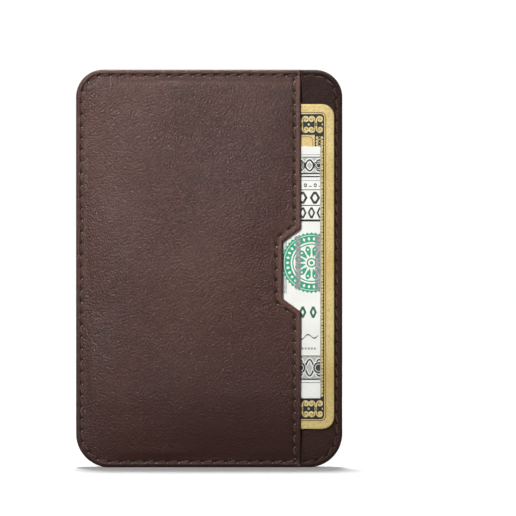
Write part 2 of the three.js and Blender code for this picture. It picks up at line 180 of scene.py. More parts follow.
# ---------------- outlines
class Outline:
    """A closed shape given by its corners, counter-clockwise, each with its own radius.

    Every ring inside it has the same count of points.
    """

    def __init__(self, corners, step=0.6):
        self.corners = np.array([[x, z] for x, z, _ in corners], float)
        self.radii = np.array([r for _, _, r in corners], float)
        self.into = self.unit(self.corners - np.roll(self.corners, 1, axis=0))
        self.out = np.roll(self.into, -1, axis=0)
        cross = self.into[:, 0] * self.out[:, 1] - self.into[:, 1] * self.out[:, 0]
        self.turn = np.arctan2(cross, (self.into * self.out).sum(axis=1))
        self.arc_steps = np.maximum(3, np.ceil(np.abs(self.turn) * self.radii / step)).astype(int)
        parts = self.arcs(0.0)
        sides = [np.linalg.norm(parts[(i + 1) % len(parts)][0] - parts[i][-1]) for i in range(len(parts))]
        self.side_steps = [max(1, int(math.ceil(side / step))) for side in sides]

    @staticmethod
    def unit(ways):
        return ways / np.linalg.norm(ways, axis=1)[:, None]

    def arcs(self, inset):
        made = []
        for corner, into, out, turn, radius, steps in zip(
                self.corners, self.into, self.out, self.turn, self.radii, self.arc_steps):
            n1, n2 = np.array([-into[1], into[0]]), np.array([-out[1], out[0]])
            moved = corner + (n1 + n2) / (1 + n1 @ n2) * inset
            side = math.copysign(1, turn)
            own = max(radius - side * inset, 0.05)
            begin = moved - into * own * math.tan(abs(turn) / 2)
            centre = begin + n1 * own * side
            spoke = begin - centre
            angles = np.linspace(0, turn, steps + 1)
            c, s = np.cos(angles), np.sin(angles)
            made.append(centre + np.column_stack([spoke[0] * c - spoke[1] * s, spoke[0] * s + spoke[1] * c]))
        return made

    def ring(self, inset=0.0):
        parts = self.arcs(inset)
        points = []
        for i, part in enumerate(parts):
            points.extend(part)
            a, b, count = part[-1], parts[(i + 1) % len(parts)][0], self.side_steps[i]
            points.extend(a + (b - a) * k / count for k in range(1, count))
        return np.array(points)


def arc(cx, cz, radius, start, end):
    """Points along an arc, its angles in degrees."""
    count = max(3, int(math.ceil(abs(math.radians(end - start)) * radius / 0.3)))
    angles = np.radians(np.linspace(start, end, count + 1))
    return np.column_stack([cx + radius * np.cos(angles), cz + radius * np.sin(angles)])


def densify(points, step):
    """Adds points so that no stretch of an open path is longer than the step."""
    points = np.asarray(points, float)
    made = []
    for a, b in zip(points[:-1], points[1:]):
        pieces = max(1, int(math.ceil(np.linalg.norm(b - a) / step)))
        made.extend(a + (b - a) * k / pieces for k in range(pieces))
    made.append(points[-1])
    made = np.array(made)
    gaps = np.linalg.norm(np.diff(made, axis=0), axis=1)
    return made[np.concatenate([[True], gaps > 1e-6])]


def box_outline(low_x, low_z, high_x, high_z, radius, step=0.6):
    corners = ((high_x, low_z), (high_x, high_z), (low_x, high_z), (low_x, low_z))
    return Outline([(x, z, radius) for x, z in corners], step)


def wallet_outline(inset=0.0):
    w, low, high = WIDTH / 2 - inset, BOTTOM_RADIUS - inset, TOP_RADIUS - inset
    return Outline([(w, inset, low), (w, HEIGHT - inset, high), (-w, HEIGHT - inset, high), (-w, inset, low)])


def notch_edge(inset=0.0):
    """The pocket's open edge from bottom to top, moved back from the opening."""
    slope = (NOTCH_OUTER_HEIGHT - NOTCH_INNER_HEIGHT) / 2 / NOTCH_DEPTH
    rise = inset * (math.sqrt(1 + slope * slope) - slope)
    outer, inner = NOTCH_OUTER_HEIGHT / 2 + rise, NOTCH_INNER_HEIGHT / 2 + rise
    edge = POCKET_EDGE_X - inset
    return np.array([
        [edge, NOTCH_Z - outer], [edge - NOTCH_DEPTH, NOTCH_Z - inner],
        [edge - NOTCH_DEPTH, NOTCH_Z + inner], [edge, NOTCH_Z + outer],
    ])


def front_pocket_outline():
    w = WIDTH / 2
    notch = [(x, z, 0.55) for x, z in notch_edge()]
    return Outline([
        (POCKET_EDGE_X, 0, 0.15), *notch, (POCKET_EDGE_X, HEIGHT, 0.15),
        (-w, HEIGHT, TOP_RADIUS), (-w, 0, BOTTOM_RADIUS),
    ])


def back_pocket_outline():
    w, r, top = WIDTH / 2, BOTTOM_RADIUS, BACK_MOUTH_Z
    return Outline([(w, 0, r), (w, top, 0.3), (-w, top, 0.3), (-w, 0, r)])


def distance_to(path, x, z, closed):
    """Distance to a path, and how far along it the nearest place is."""
    a = path if closed else path[:-1]
    b = np.roll(path, -1, axis=0) if closed else path[1:]
    lengths = np.linalg.norm(b - a, axis=1)
    starts = np.concatenate([[0], np.cumsum(lengths)[:-1]])
    way = (b - a) / lengths[:, None]
    best, along = np.zeros(len(x)), np.zeros(len(x))
    for first in range(0, len(x), 1500):
        part = slice(first, first + 1500)
        dx = x[part, None] - a[None, :, 0]
        dz = z[part, None] - a[None, :, 1]
        t = np.clip(dx * way[:, 0] + dz * way[:, 1], 0, lengths)
        gap = (dx - t * way[:, 0]) ** 2 + (dz - t * way[:, 1]) ** 2
        nearest = gap.argmin(axis=1)
        rows = np.arange(len(nearest))
        best[part] = np.sqrt(gap[rows, nearest])
        along[part] = starts[nearest] + t[rows, nearest]
    return best, along


def within_outline(outline, x, z):
    """Which points lie inside a closed outline."""
    found = np.zeros(len(x), dtype=bool)
    for (ax, az), (bx, bz) in zip(outline, np.roll(outline, -1, axis=0)):
        if az == bz:
            continue
        crosses = (az > z) != (bz > z)
        found ^= crosses & (x < (bx - ax) * (z - az) / (bz - az) + ax)
    return found


# ---------------- meshes
def link(name, data):
    made = bpy.data.objects.new(name, data)
    bpy.context.scene.collection.objects.link(made)
    return made


def quad_strips(rows, count, base=0):
    """The faces between neighbouring closed rows of points, each row with the same count."""
    faces = []
    for k in range(rows - 1):
        a, b = base + k * count, base + (k + 1) * count
        for i in range(count):
            j = (i + 1) % count
            faces.append((a + i, a + j, b + j, b + i))
    return faces


def add_mesh(name, points, faces, materials, indices=None):
    """A smooth-shaded piece from points in millimetres."""
    mesh = bpy.data.meshes.new(name)
    mesh.from_pydata([tuple(p) for p in np.asarray(points) * MM], [], faces)
    for material in materials:
        mesh.materials.append(material)
    if indices is not None:
        mesh.polygons.foreach_set("material_index", np.asarray(indices, dtype=np.int32))
    mesh.polygons.foreach_set("use_smooth", np.ones(len(mesh.polygons), dtype=bool))
    mesh.update()
    return link(name, mesh)


def paint(piece, name, values):
    attribute = piece.data.attributes.new(name, "FLOAT", "POINT")
    attribute.data.foreach_set("value", np.asarray(values, dtype=np.float32))


def signed_area(points):
    """Twice the area of a polygon, above zero when it is counter-clockwise."""
    return sum(points[k - 1][0] * points[k][1] - points[k][0] * points[k - 1][1] for k in range(len(points)))


def flat_mesh(outline, insets, spacing):
    """Rings inside an outline and a grid within them: [x, z] points, how far inside each is, and faces."""
    rings = [outline.ring(inset) for inset in insets]
    first = rings[0]
    count = len(first)
    faces = quad_strips(len(rings), count)
    last = rings[-1]
    low, high = last.min(axis=0), last.max(axis=0)
    xs = np.arange(low[0] + spacing / 2, high[0], spacing)
    zs = np.arange(low[1] + spacing / 2, high[1], spacing)
    gx, gz = (g.ravel() for g in np.meshgrid(xs, zs))
    keep = within_outline(last, gx, gz) & (distance_to(last, gx, gz, True)[0] > spacing * 0.45)
    all_inner = np.vstack([last, np.column_stack([gx[keep], gz[keep]])])
    made = delaunay_2d_cdt([Vector(p) for p in all_inner], [], [list(range(count))], 1, 1e-6)
    new_points, new_faces, sources = made[0], made[2], made[3]
    base = (len(rings) - 1) * count
    place = {}
    points = [p for ring in rings[:-1] for p in ring] + list(last)
    distances = [d for d in insets for _ in range(count)]
    for i, source in enumerate(sources):
        if source and source[0] < count:
            place[i] = base + source[0]
        else:
            place[i] = len(points)
            points.append(np.array(new_points[i]))
            distances.append(None)
    points = np.array(points)
    loose = np.array([d is None for d in distances])
    filled = np.array([0.0 if d is None else d for d in distances])
    if loose.any():
        filled[loose] = distance_to(first, points[loose, 0], points[loose, 1], True)[0]
    for face in new_faces:
        ids = [place[i] for i in face]
        p = points[ids]
        faces.append(tuple(ids if signed_area(p) > 0 else ids[::-1]))
    return points, filled, faces, count


def plane(y):
    return lambda x, z: np.full(x.shape, y)


def edge_profile(distance, radius):
    """From 0 at the border to 1 where the rounded edge ends, along a quarter circle."""
    return np.sqrt(np.maximum(0, 1 - (1 - np.clip(distance / radius, 0, 1)) ** 2))


def sheet(name, outline, low, high, materials, insets, spacing=1.3, round_low=0.3, round_high=0.3,
          share=0.5, move=None):
    """A closed sheet between two surfaces, with a rounded edge. Returns the piece and each vertex's x and z.

    A rounding is how far in from the border it reaches; round_low can also be a function of x and z.
    """
    flat, inner, faces, count = flat_mesh(outline, insets, spacing)
    x, z = flat[:, 0], flat[:, 1]
    y_low, y_high = low(x, z), high(x, z)
    middle = y_low + (y_high - y_low) * share
    near_round = round_low(x, z) if callable(round_low) else round_low
    near = middle + (y_low - middle) * edge_profile(inner, near_round)
    far = middle + (y_high - middle) * edge_profile(inner, round_high)
    total = len(flat)
    front = np.column_stack([x, near, z])
    back = np.column_stack([x, far, z])[count:]
    points = np.vstack([front, back])
    rear = [i if i < count else i + total - count for i in range(total)]
    all_faces = faces + [tuple(rear[i] for i in face[::-1]) for face in faces]
    if move is not None:
        points = move(points)
    piece = add_mesh(name, points, all_faces, materials)
    both = lambda values: np.concatenate([values, values[count:]])
    paint(piece, "edge", both(1 - smoothstep(inner, 0.05, 0.3)))
    return piece, both(x), both(z)


RINGS = [0, 0.06, 0.16, 0.3, 0.5, 0.75, 1.0, 1.2, 1.35, 1.5, 1.65, 1.8, 2.0, 2.3, 2.7, 3.2, 3.8, 4.5]
THIN_RINGS = [0, 0.05, 0.15, 0.35, 0.8, 1.6]


# ---------------- materials
class Nodes:
    """Shorthand for making and linking the nodes of a tree."""

    def __init__(self, tree):
        self.tree = tree

    def node(self, kind, inputs=None, **settings):
        made = self.tree.nodes.new(kind)
        for key, value in settings.items():
            setattr(made, key, value)
        for key, value in (inputs or {}).items():
            self.put(made.inputs[key], value)
        return made

    def put(self, socket, value):
        if isinstance(value, bpy.types.NodeSocket):
            self.tree.links.new(value, socket)
        else:
            socket.default_value = value

    def between(self, value, low, high, to_low=0.0, to_high=1.0):
        inputs = {"Value": value, "From Min": low, "From Max": high, "To Min": to_low, "To Max": to_high}
        return self.node("ShaderNodeMapRange", inputs, interpolation_type="SMOOTHSTEP").outputs[0]

    def math(self, operation, a, b):
        return self.node("ShaderNodeMath", {0: a, 1: b}, operation=operation).outputs[0]


class Paint(Nodes):
    """A node material whose patterns are measured in millimetres of the piece itself."""

    def __init__(self, name, turn=(0, 0, 0), stretch=(1, 1, 1)):
        self.material = bpy.data.materials.new(name)
        self.material.use_nodes = True
        super().__init__(self.material.node_tree)
        self.shader = self.tree.nodes["Principled BSDF"]
        place = self.node("ShaderNodeTexCoord").outputs["Object"]
        scale = tuple(s / MM for s in stretch)
        inputs = {"Vector": place, "Rotation": turn, "Scale": scale}
        self.mm = self.node("ShaderNodeMapping", inputs).outputs[0]

    def set(self, **values):
        for key, value in values.items():
            self.put(self.shader.inputs[key.replace("_", " ")], value)
        return self.material

    def noise(self, size, detail=2.0, roughness=0.5, distortion=0.0):
        inputs = {"Vector": self.mm, "Scale": 1 / size, "Detail": detail,
                  "Roughness": roughness, "Distortion": distortion}
        return self.node("ShaderNodeTexNoise", inputs).outputs["Fac"]

    def cells(self, size, feature):
        inputs = {"Vector": self.mm, "Scale": 1 / size}
        return self.node("ShaderNodeTexVoronoi", inputs, feature=feature).outputs["Distance"]

    def wave(self, size, direction, distortion=0.0):
        inputs = {"Vector": self.mm, "Scale": math.pi / 10 / size * 2, "Distortion": distortion}
        return self.node("ShaderNodeTexWave", inputs, bands_direction=direction).outputs["Fac"]

    def mix(self, factor, a, b):
        made = self.node("ShaderNodeMix", data_type="RGBA")
        for index, value in ((0, factor), (6, a), (7, b)):
            self.put(made.inputs[index], value)
        return made.outputs[2]

    def tint(self, colour, code, amount, share):
        """The colour with a share of another laid over it where the amount is high."""
        return self.mix(self.math("MULTIPLY", amount, share), colour, rgb(code))

    def attribute(self, name):
        return self.node("ShaderNodeAttribute", attribute_name=name).outputs["Fac"]

    def bump(self, height, distance):
        return self.node("ShaderNodeBump", {"Height": height, "Distance": distance * MM}).outputs["Normal"]


def rgb(code):
    """A displayed colour, as six hexadecimal digits, in the linear numbers that nodes use."""
    parts = [int(code[i:i + 2], 16) / 255 for i in (0, 2, 4)]
    return tuple(p / 12.92 if p <= 0.04045 else ((p + 0.055) / 1.055) ** 2.4 for p in parts) + (1.0,)


def leather(name, dark, middle, light, grain=0.5, depth=0.065, rough=0.44, shine=0.3, edge_share=0.35):
    """Chocolate leather: soft patches, a fine slanting pebble grain, painted shade along the seam grooves and
    low on the front pocket, and darker edges.
    """
    p = Paint(name, turn=(0, math.radians(38), 0), stretch=(1.0, 1.0, 0.82))
    patches = p.noise(30, detail=2.0, roughness=0.5)
    fine = p.noise(2.2, detail=5.0, roughness=0.7)
    creases = p.cells(grain, "DISTANCE_TO_EDGE")
    speck = p.noise(grain * 0.8, detail=1.0, roughness=0.5)
    pebbles = p.cells(grain, "F1")
    colour = p.mix(p.between(patches, 0.34, 0.68), rgb(dark), rgb(middle))
    # Along the seams and low on the front pocket the colour is darkened as painted shade; the paler turned
    # strip and the dark edge coat are the leather's own colour.
    for code, amount, share in (
            (light, p.between(fine, 0.4, 0.75), 0.22), (light, p.between(speck, 0.35, 0.7), 0.28),
            (dark, p.between(creases, 0.16, 0.0), 0.35), (light, p.attribute("hem"), 0.5),
            (dark, p.attribute("painted_shade_low"), 0.85), ("120907", p.attribute("painted_groove_shade"), 0.75),
            ("1c100d", p.attribute("edge"), edge_share)):
        colour = p.tint(colour, code, amount, share)
    height = p.math("MULTIPLY", p.between(creases, 0.0, 0.3), 0.3)
    for pattern, share in ((pebbles, -1.2), (speck, 1.2), (fine, 0.2)):
        height = p.math("ADD", height, p.math("MULTIPLY", pattern, share))
    roughness = p.between(speck, 0.3, 0.75, rough + 0.1, rough - 0.08)
    return p.set(Base_Color=colour, Roughness=roughness, Specular_IOR_Level=shine,
                 Normal=p.bump(height, depth), Sheen_Weight=0.03, Sheen_Roughness=0.4)


def thread_material(name, dark, light):
    """Twisted strands that run across the stitch, with paler worn places."""
    p = Paint(name, turn=(0, math.radians(40), 0))
    strands = p.wave(0.16, "DIAGONAL", distortion=1.5)
    tone = p.noise(2.4)
    colour = p.tint(rgb(dark), light, strands, 0.7)
    colour = p.tint(colour, light, p.between(tone, 0.5, 0.7), 0.5)
    roughness = p.between(tone, 0.3, 0.7, 0.6, 0.42)
    return p.set(Base_Color=colour, Roughness=roughness, Normal=p.bump(strands, 0.05))


# A needle hole's near-black is painted shade, standing in for the depth of the hole.
def hole_shade_material():
    p = Paint("needle_hole_painted_shade")
    return p.set(Base_Color=p.mix(p.noise(0.8), rgb("0a0605"), rgb("170d0b")), Roughness=0.9)


def lining_material(name, warp, weft):
    """A plain grey-green weave."""
    p = Paint(name)
    over = p.math("MULTIPLY", p.wave(0.42, "X"), p.wave(0.42, "Z"))
    colour = p.tint(p.mix(over, rgb(warp), rgb(weft)), warp, p.noise(5), 0.4)
    return p.set(Base_Color=colour, Roughness=p.between(over, 0, 1, 0.9, 0.7), Normal=p.bump(over, 0.12),
                 Sheen_Weight=0.15)


def gold_material():
    """Satin printed gold: very fine grain, slow changes of tone."""
    p = Paint("satin_gold")
    grain = p.noise(0.3, detail=3.0, roughness=0.65)
    colour = p.mix(p.between(p.noise(16), 0.35, 0.65), rgb("d2b772"), rgb("e0cb8c"))
    colour = p.tint(colour, "b89a54", p.between(grain, 0.42, 0.68), 0.8)
    return p.set(Base_Color=colour, Metallic=0.25, Roughness=p.between(grain, 0.3, 0.7, 0.5, 0.36),
                 Normal=p.bump(grain, 0.01))


def ink_material(name, first, second, size=0.5, rough=0.55):
    p = Paint(name)
    tone = p.noise(size, detail=3.0)
    return p.set(Base_Color=p.mix(p.between(tone, 0.35, 0.65), rgb(first), rgb(second)),
                 Roughness=p.between(tone, 0.3, 0.7, rough, rough - 0.12))


def paper_material(name, pale, dull, soft):
    """Cotton paper with faint fibres and soft handling marks."""
    p = Paint(name)
    fibre = p.noise(0.35, detail=4.0, roughness=0.7, distortion=1.2)
    cloud = p.noise(9, detail=3.0)
    colour = p.mix(p.between(cloud, 0.35, 0.7), rgb(pale), rgb(soft))
    colour = p.tint(colour, dull, p.between(fibre, 0.55, 0.75), 0.35)
    roughness = p.between(fibre, 0.3, 0.7, 0.9, 0.75)
    return p.set(Base_Color=colour, Roughness=roughness, Normal=p.bump(fibre, 0.02))


LEATHER = leather("chocolate_leather", "2e1611", "3f221b", "6a4337")
# The front body panel's leather: rougher and duller than the pocket's, and its darker colours are painted
# shade.
LEATHER_BODY_SHADED = leather("shaded_chocolate_leather", "23110c", "2f1811", "482a22", rough=0.55, shine=0.2)
LEATHER_TAB = leather("tab_leather", "2e1812", "40241c", "5c3b31", depth=0.035, edge_share=0.2)
THREAD = thread_material("brown_thread", "38221b", "80604f")
# Pale thread for the small domes beside the needle holes: a painted glint.
THREAD_PAINTED_GLINT = thread_material("painted_glint_thread", "927a6e", "d0beb2")
HOLE_PAINTED_SHADE = hole_shade_material()
LINING_CLOTH = lining_material("woven_lining", "4a4f4a", "8f9690")
GOLD = gold_material()
CARD_BLACK = ink_material("black_print", "0d0c11", "16151c", 0.8, 0.6)
CARD_LINE = ink_material("fine_line_print", "57481f", "6e5c2c", 0.6)
CARD_ORNAMENT = ink_material("ornament_print", "cdb46c", "e6d69c", 0.6, 0.45)
PAPER = paper_material("note_paper", "efefe9", "cfd0c8", "e6e6df")
NOTE_DARK = ink_material("note_dark_print", "1b1e1d", "343937", 0.5, 0.7)
NOTE_GREY = ink_material("note_grey_print", "74797a", "969b9a", 0.5, 0.75)
NOTE_PALE = ink_material("note_pale_print", "c4c7c3", "d6d8d4", 0.7, 0.8)
NOTE_GREEN = ink_material("note_green_print", "12906a", "2ca981", 0.6, 0.7)
NOTE_DEEP_GREEN = ink_material("note_deep_green_print", "1d5546", "2a6b59", 0.6, 0.7)
BACK_PAPER = paper_material("back_note_paper", "cfd1d3", "a9abad", "c3c5c8")


# ---------------- seams
def along_path(path, pitch):
    """Evenly spaced places along an open path, about a pitch apart."""
    lengths = np.linalg.norm(np.diff(path, axis=0), axis=1)
    starts = np.concatenate([[0], np.cumsum(lengths)])
    count = int(round(lengths.sum() / pitch))
    made = []
    for i in range(count + 1):
        s = min(i * (lengths.sum() / count), lengths.sum() - 1e-6)
        k = min(int(np.searchsorted(starts, s, side="right") - 1), len(lengths) - 1)
        made.append(path[k] + (path[k + 1] - path[k]) * ((s - starts[k]) / lengths[k]))
    return np.array(made)


def stitches(name, path, surface, outward, slant=12.0, length=0.8, width=0.5, pitch=STITCH_PITCH,
             proud=0.15, place=None, slot=1.0, glint=0.13):
    """A run of separate stitches: each is a lump of thread that dips into a needle hole at both ends.

    Each needle hole is a near-black disc of painted shade drawn out along the seam by slot, and beside it a
    small pale dome of thread is a painted glint.
    """
    holes = along_path(path, pitch)
    around, steps = 8, 9
    t = np.linspace(-1, 1, steps)
    t = np.sign(t) * np.abs(t) ** 0.8
    girth = np.sqrt(np.maximum(0.02, 1 - np.abs(t) ** 5))
    turns = np.linspace(0, 2 * math.pi, around, endpoint=False)
    count = len(holes) - 1
    way = holes[1:] - holes[:-1]
    reach = np.linalg.norm(way, axis=1)
    way = way / reach[:, None]
    lean = np.radians(slant + random.uniform(-3, 3, count))
    way = np.column_stack([way[:, 0] * np.cos(lean) - way[:, 1] * np.sin(lean),
                           way[:, 0] * np.sin(lean) + way[:, 1] * np.cos(lean)])
    side = np.column_stack([-way[:, 1], way[:, 0]])
    centre = (holes[1:] + holes[:-1]) / 2 + side * random.uniform(-0.03, 0.03, count)[:, None]
    half = reach * length / 2 * random.uniform(0.96, 1.04, count)
    thick = width / 2 * random.uniform(0.94, 1.06, count)
    spots = centre[:, None, :] + way[:, None, :] * (half[:, None] * t[None, :])[:, :, None]
    ground = surface(spots[:, :, 0].ravel(), spots[:, :, 1].ravel()).reshape(count, steps)
    radius = thick[:, None] * girth[None, :]
    across = side[:, None, None, :] * (radius[:, :, None] * np.cos(turns))[..., None]
    lift = proud * (1 - 1.5 * t * t)
    up = (ground + outward * lift)[:, :, None] + outward * 0.62 * radius[:, :, None] * np.sin(turns)
    x = spots[:, :, None, 0] + across[..., 0]
    z = spots[:, :, None, 1] + across[..., 1]
    points = [np.stack([x, up, z], axis=-1).reshape(-1, 3)]
    faces = []
    for base in range(0, count * steps * around, steps * around):
        faces += quad_strips(steps, around, base)
        faces.append(tuple(range(base + around - 1, base - 1, -1)))
        faces.append(tuple(range(base + (steps - 1) * around, base + steps * around)))
    if outward < 0:
        faces = [face[::-1] for face in faces]
    kinds = [0] * len(faces)
    rim = 10
    turns = np.linspace(0, 2 * math.pi, rim, endpoint=False)
    base = count * steps * around
    along = np.vstack([way, way[-1:]])
    across = np.column_stack([-along[:, 1], along[:, 0]])
    for middle, size_along, size_across, rise, tip, kind in (
            # Needle holes: near-black discs of painted shade.
            (holes, HOLE_RADIUS * slot, HOLE_RADIUS * (1 + (slot - 1) * 0.4), 0.04, 0.05, 1),
            # Glints: small pale domes of thread beside the holes, a painted highlight.
            (holes + np.array([0.12, -0.3]) * slot, glint * 1.3, glint, 0.05, 0.05 + glint, 2)):
        discs = middle[:, None, :] + along[:, None, :] * (np.cos(turns) * size_along)[None, :, None]
        discs = discs + across[:, None, :] * (np.sin(turns) * size_across)[None, :, None]
        discs = np.concatenate([discs, middle[:, None, :]], axis=1)
        height = np.append(np.full(rim, rise), tip)
        ground = surface(discs[:, :, 0].ravel(), discs[:, :, 1].ravel()).reshape(discs.shape[:2])
        ground = ground + outward * height
        points.append(np.stack([discs[:, :, 0], ground, discs[:, :, 1]], axis=-1).reshape(-1, 3))
        for _ in middle:
            made = [(base + j, base + (j + 1) % rim, base + rim) for j in range(rim)]
            faces += [face[::-1] for face in made] if outward > 0 else made
            kinds += [kind] * rim
            base += rim + 1
    made = np.vstack(points)
    return add_mesh(name, made if place is None else place(made), faces, [THREAD, HOLE_PAINTED_SHADE, THREAD_PAINTED_GLINT], kinds)


def seam_path(keep):
    """The one unbroken run of the seam line whose points pass the test."""
    ring = wallet_outline(SEAM_INSET).ring()
    good = np.array([keep(p) for p in ring])
    first = next(i for i in range(len(ring)) if good[i] and not good[i - 1])
    ring, good = np.roll(ring, -first, axis=0), np.roll(good, -first)
    return ring if good.all() else ring[:np.argmin(good)]


def hem_path():
    edge = POCKET_EDGE_X - HEM_INSET
    ends = SEAM_INSET + 1.2
    return densify(np.vstack([[[edge, ends]], notch_edge(HEM_INSET), [[edge, HEIGHT - ends]]]), 0.5)


FRONT_SEAM = seam_path(lambda p: p[0] < POCKET_EDGE_X - 0.9)
FRONT_SEAM_RIGHT = seam_path(lambda p: p[0] > POCKET_EDGE_X + 0.5)
FRONT_HEM = hem_path()


def seam_relief(path, x, z, depth=0.2, wide=0.34, pucker=0.07):
    """How far leather is pulled in along a seam, deeper at each hole, and the painted shade along it, darkest
    at the holes.
    """
    relief, shade = np.zeros(len(x)), np.zeros(len(x))
    low, high = path.min(axis=0) - 3, path.max(axis=0) + 3
    near = (x > low[0]) & (x < high[0]) & (z > low[1]) & (z < high[1])
    near &= (inside(x, z) < SEAM_INSET + 3) | (high[0] - low[0] < WIDTH / 2)
    if near.any():
        gap, along = distance_to(path, x[near], z[near], False)
        wave = 0.5 + 0.5 * np.cos(2 * np.pi * along / STITCH_PITCH)
        relief[near] = depth * bell(gap, wide) * (0.6 + 0.4 * wave) + pucker * wave * bell(gap, 1.1)
        shade[near] = bell(gap, 0.38) * (0.25 + 0.75 * wave ** 2)
    return relief, shade


# ---------------- the front half
uneven_front = undulation(3, 26)
uneven_fine = undulation(4, 11)
POCKET_EDGE = np.vstack([[[POCKET_EDGE_X, 0]], notch_edge(), [[POCKET_EDGE_X, HEIGHT]]])


def hem_distance(x, z):
    return distance_to(POCKET_EDGE, x, z, False)[0]


def pocket_rounding(x, z):
    """The turned rim round the border is much rounder than the pocket's folded edge."""
    return 0.3 + 0.5 * smoothstep(hem_distance(x, z), 0.6, 2.5)


def front_pocket_outer(x, z):
    seam, _ = seam_relief(FRONT_SEAM, x, z)
    hem, _ = seam_relief(FRONT_HEM, x, z, depth=0.12, wide=0.26, pucker=0.06)
    soft = off_border(x, z)
    edge = hem_distance(x, z)
    free = soft * (0.35 + 0.65 * smoothstep(edge, 0, 6))
    hills = (0.16 * uneven_front(x, z) + 0.035 * uneven_fine(x, z)) * free
    bead = 0.1 * bell(inside(x, z) - 0.95, 0.4) * (1 - smoothstep(x, 20, 24))
    fold = 0.06 * bell(edge - 0.7, 0.7) * soft
    return FRONT_POCKET_Y - front_swell(x, z) - hills - bead - fold + seam + hem


def front_pocket_inner(x, z):
    return FRONT_BODY_Y - front_swell(x, z)


def front_body_outer(x, z):
    seam, _ = seam_relief(FRONT_SEAM_RIGHT, x, z)
    bead = 0.12 * bell(inside(x, z) - 0.85, 0.4) * smoothstep(x, POCKET_EDGE_X + 0.3, POCKET_EDGE_X + 1.5)
    return FRONT_BODY_Y - bead + seam


def finish_piece(piece, body, slot_name, *nodes):
    """Hides the CAD nodes a piece stands for and attaches it to the body it rides on; the slot name is not
    used.
    """
    if nodes:
        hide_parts(*nodes)
    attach(piece, body)


def sew(name, path, surface, outward, node, body="wallet", **looks):
    finish_piece(stitches(name, path, surface, outward, **looks), body, "thread", node)


def turned_strip(distance):
    """Where the smooth turned leather beside a pocket's mouth shows."""
    return (1 - smoothstep(distance, 1.0, 1.5)) * smoothstep(distance, 0.1, 0.5)


def paint_leather(piece, x, z, paths, hem=None):
    """Marks the painted shade along the seams and the turned strip, which the leather's material reads."""
    painted_groove_shade = np.zeros(len(x))
    for path in paths:
        painted_groove_shade = np.maximum(painted_groove_shade, seam_relief(path, x, z)[1])
    paint(piece, "painted_groove_shade", painted_groove_shade)
    paint(piece, "hem", np.zeros(len(x)) if hem is None else hem)


def build_front_half():
    piece, x, z = sheet(
        "front_pocket_leather", front_pocket_outline(), front_pocket_outer, front_pocket_inner,
        [LEATHER], RINGS, spacing=1.2, round_low=pocket_rounding, round_high=0.12, share=0.8)
    paint_leather(piece, x, z, [FRONT_SEAM, FRONT_HEM], turned_strip(hem_distance(x, z)))
    # Painted shade: the front pocket's colour darkens towards the bottom and towards the right, where the
    # light falls off.
    paint(piece, "painted_shade_low", (1 - smoothstep(z, 4, 46)) * (0.55 + 0.45 * smoothstep(x, -32, 8)))
    finish_piece(piece, "wallet", "leather", "front_pocket_panel")
    piece, x, z = sheet(
        "front_body_leather", wallet_outline(), front_body_outer, plane(FRONT_LINING_Y),
        [LEATHER_BODY_SHADED], RINGS, spacing=2.5, round_low=0.7, round_high=0.15, share=0.75)
    paint_leather(piece, x, z, [FRONT_SEAM_RIGHT])
    finish_piece(piece, "wallet", "leather", "front_body_panel")
    piece, *_ = sheet(
        "front_lining_cloth", wallet_outline(LINING_INSET), plane(FRONT_LINING_Y + 0.01),
        plane(SEAM_Y - 0.01), [LINING_CLOTH], THIN_RINGS, spacing=3.0,
        round_low=0.08, round_high=0.08)
    finish_piece(piece, "wallet", "lining", "front_shield_lining")
    sew("front_border_stitches", FRONT_SEAM, front_pocket_outer, -1, "front_border_stitch")
    sew("front_border_stitches_right", FRONT_SEAM_RIGHT, front_body_outer, -1, "front_border_stitch_right",
        width=0.4, proud=0.02, glint=0.07)
    sew("front_hem_stitches", FRONT_HEM, front_pocket_outer, -1, "front_pocket_hem_stitch",
        slant=15.0, length=0.62, width=0.4, proud=0.04, slot=1.5, glint=0.14)


# ---------------- the back half
BACK_SEAM = seam_path(lambda p: p[1] < BACK_MOUTH_Z - 1.2)
BACK_SEAM_TOP = seam_path(lambda p: p[1] > BACK_MOUTH_Z + 0.8)
BACK_HEM = densify([[side * (WIDTH / 2 - 2.6), BACK_MOUTH_Z - HEM_INSET] for side in (-1, 1)], 0.5)
uneven_back = undulation(8, 28)


def back_body_inner(x, z):
    return BACK_LINING_Y + back_body_swell(x, z)


def back_pocket_inner(x, z):
    return BACK_BODY_Y + back_pocket_swell(x, z)


def back_body_outer(x, z):
    seam, _ = seam_relief(BACK_SEAM_TOP, x, z)
    bead = 0.1 * bell(inside(x, z) - 0.95, 0.4) * smoothstep(z, BACK_MOUTH_Z, BACK_MOUTH_Z + 3)
    return BACK_BODY_Y + back_body_swell(x, z) + bead - seam


def back_pocket_outer(x, z):
    seam, _ = seam_relief(BACK_SEAM, x, z)
    hem, _ = seam_relief(BACK_HEM, x, z)
    hills = 0.14 * uneven_back(x, z) * off_border(x, z) * smoothstep(BACK_MOUTH_Z - z, 0, 8)
    bead = 0.1 * bell(inside(x, z) - 0.95, 0.4)
    fold = 0.12 * bell(BACK_MOUTH_Z - z - 0.8, 0.7) * off_border(x, z)
    return BACK_POCKET_Y + back_pocket_swell(x, z) + hills + bead + fold - seam - hem


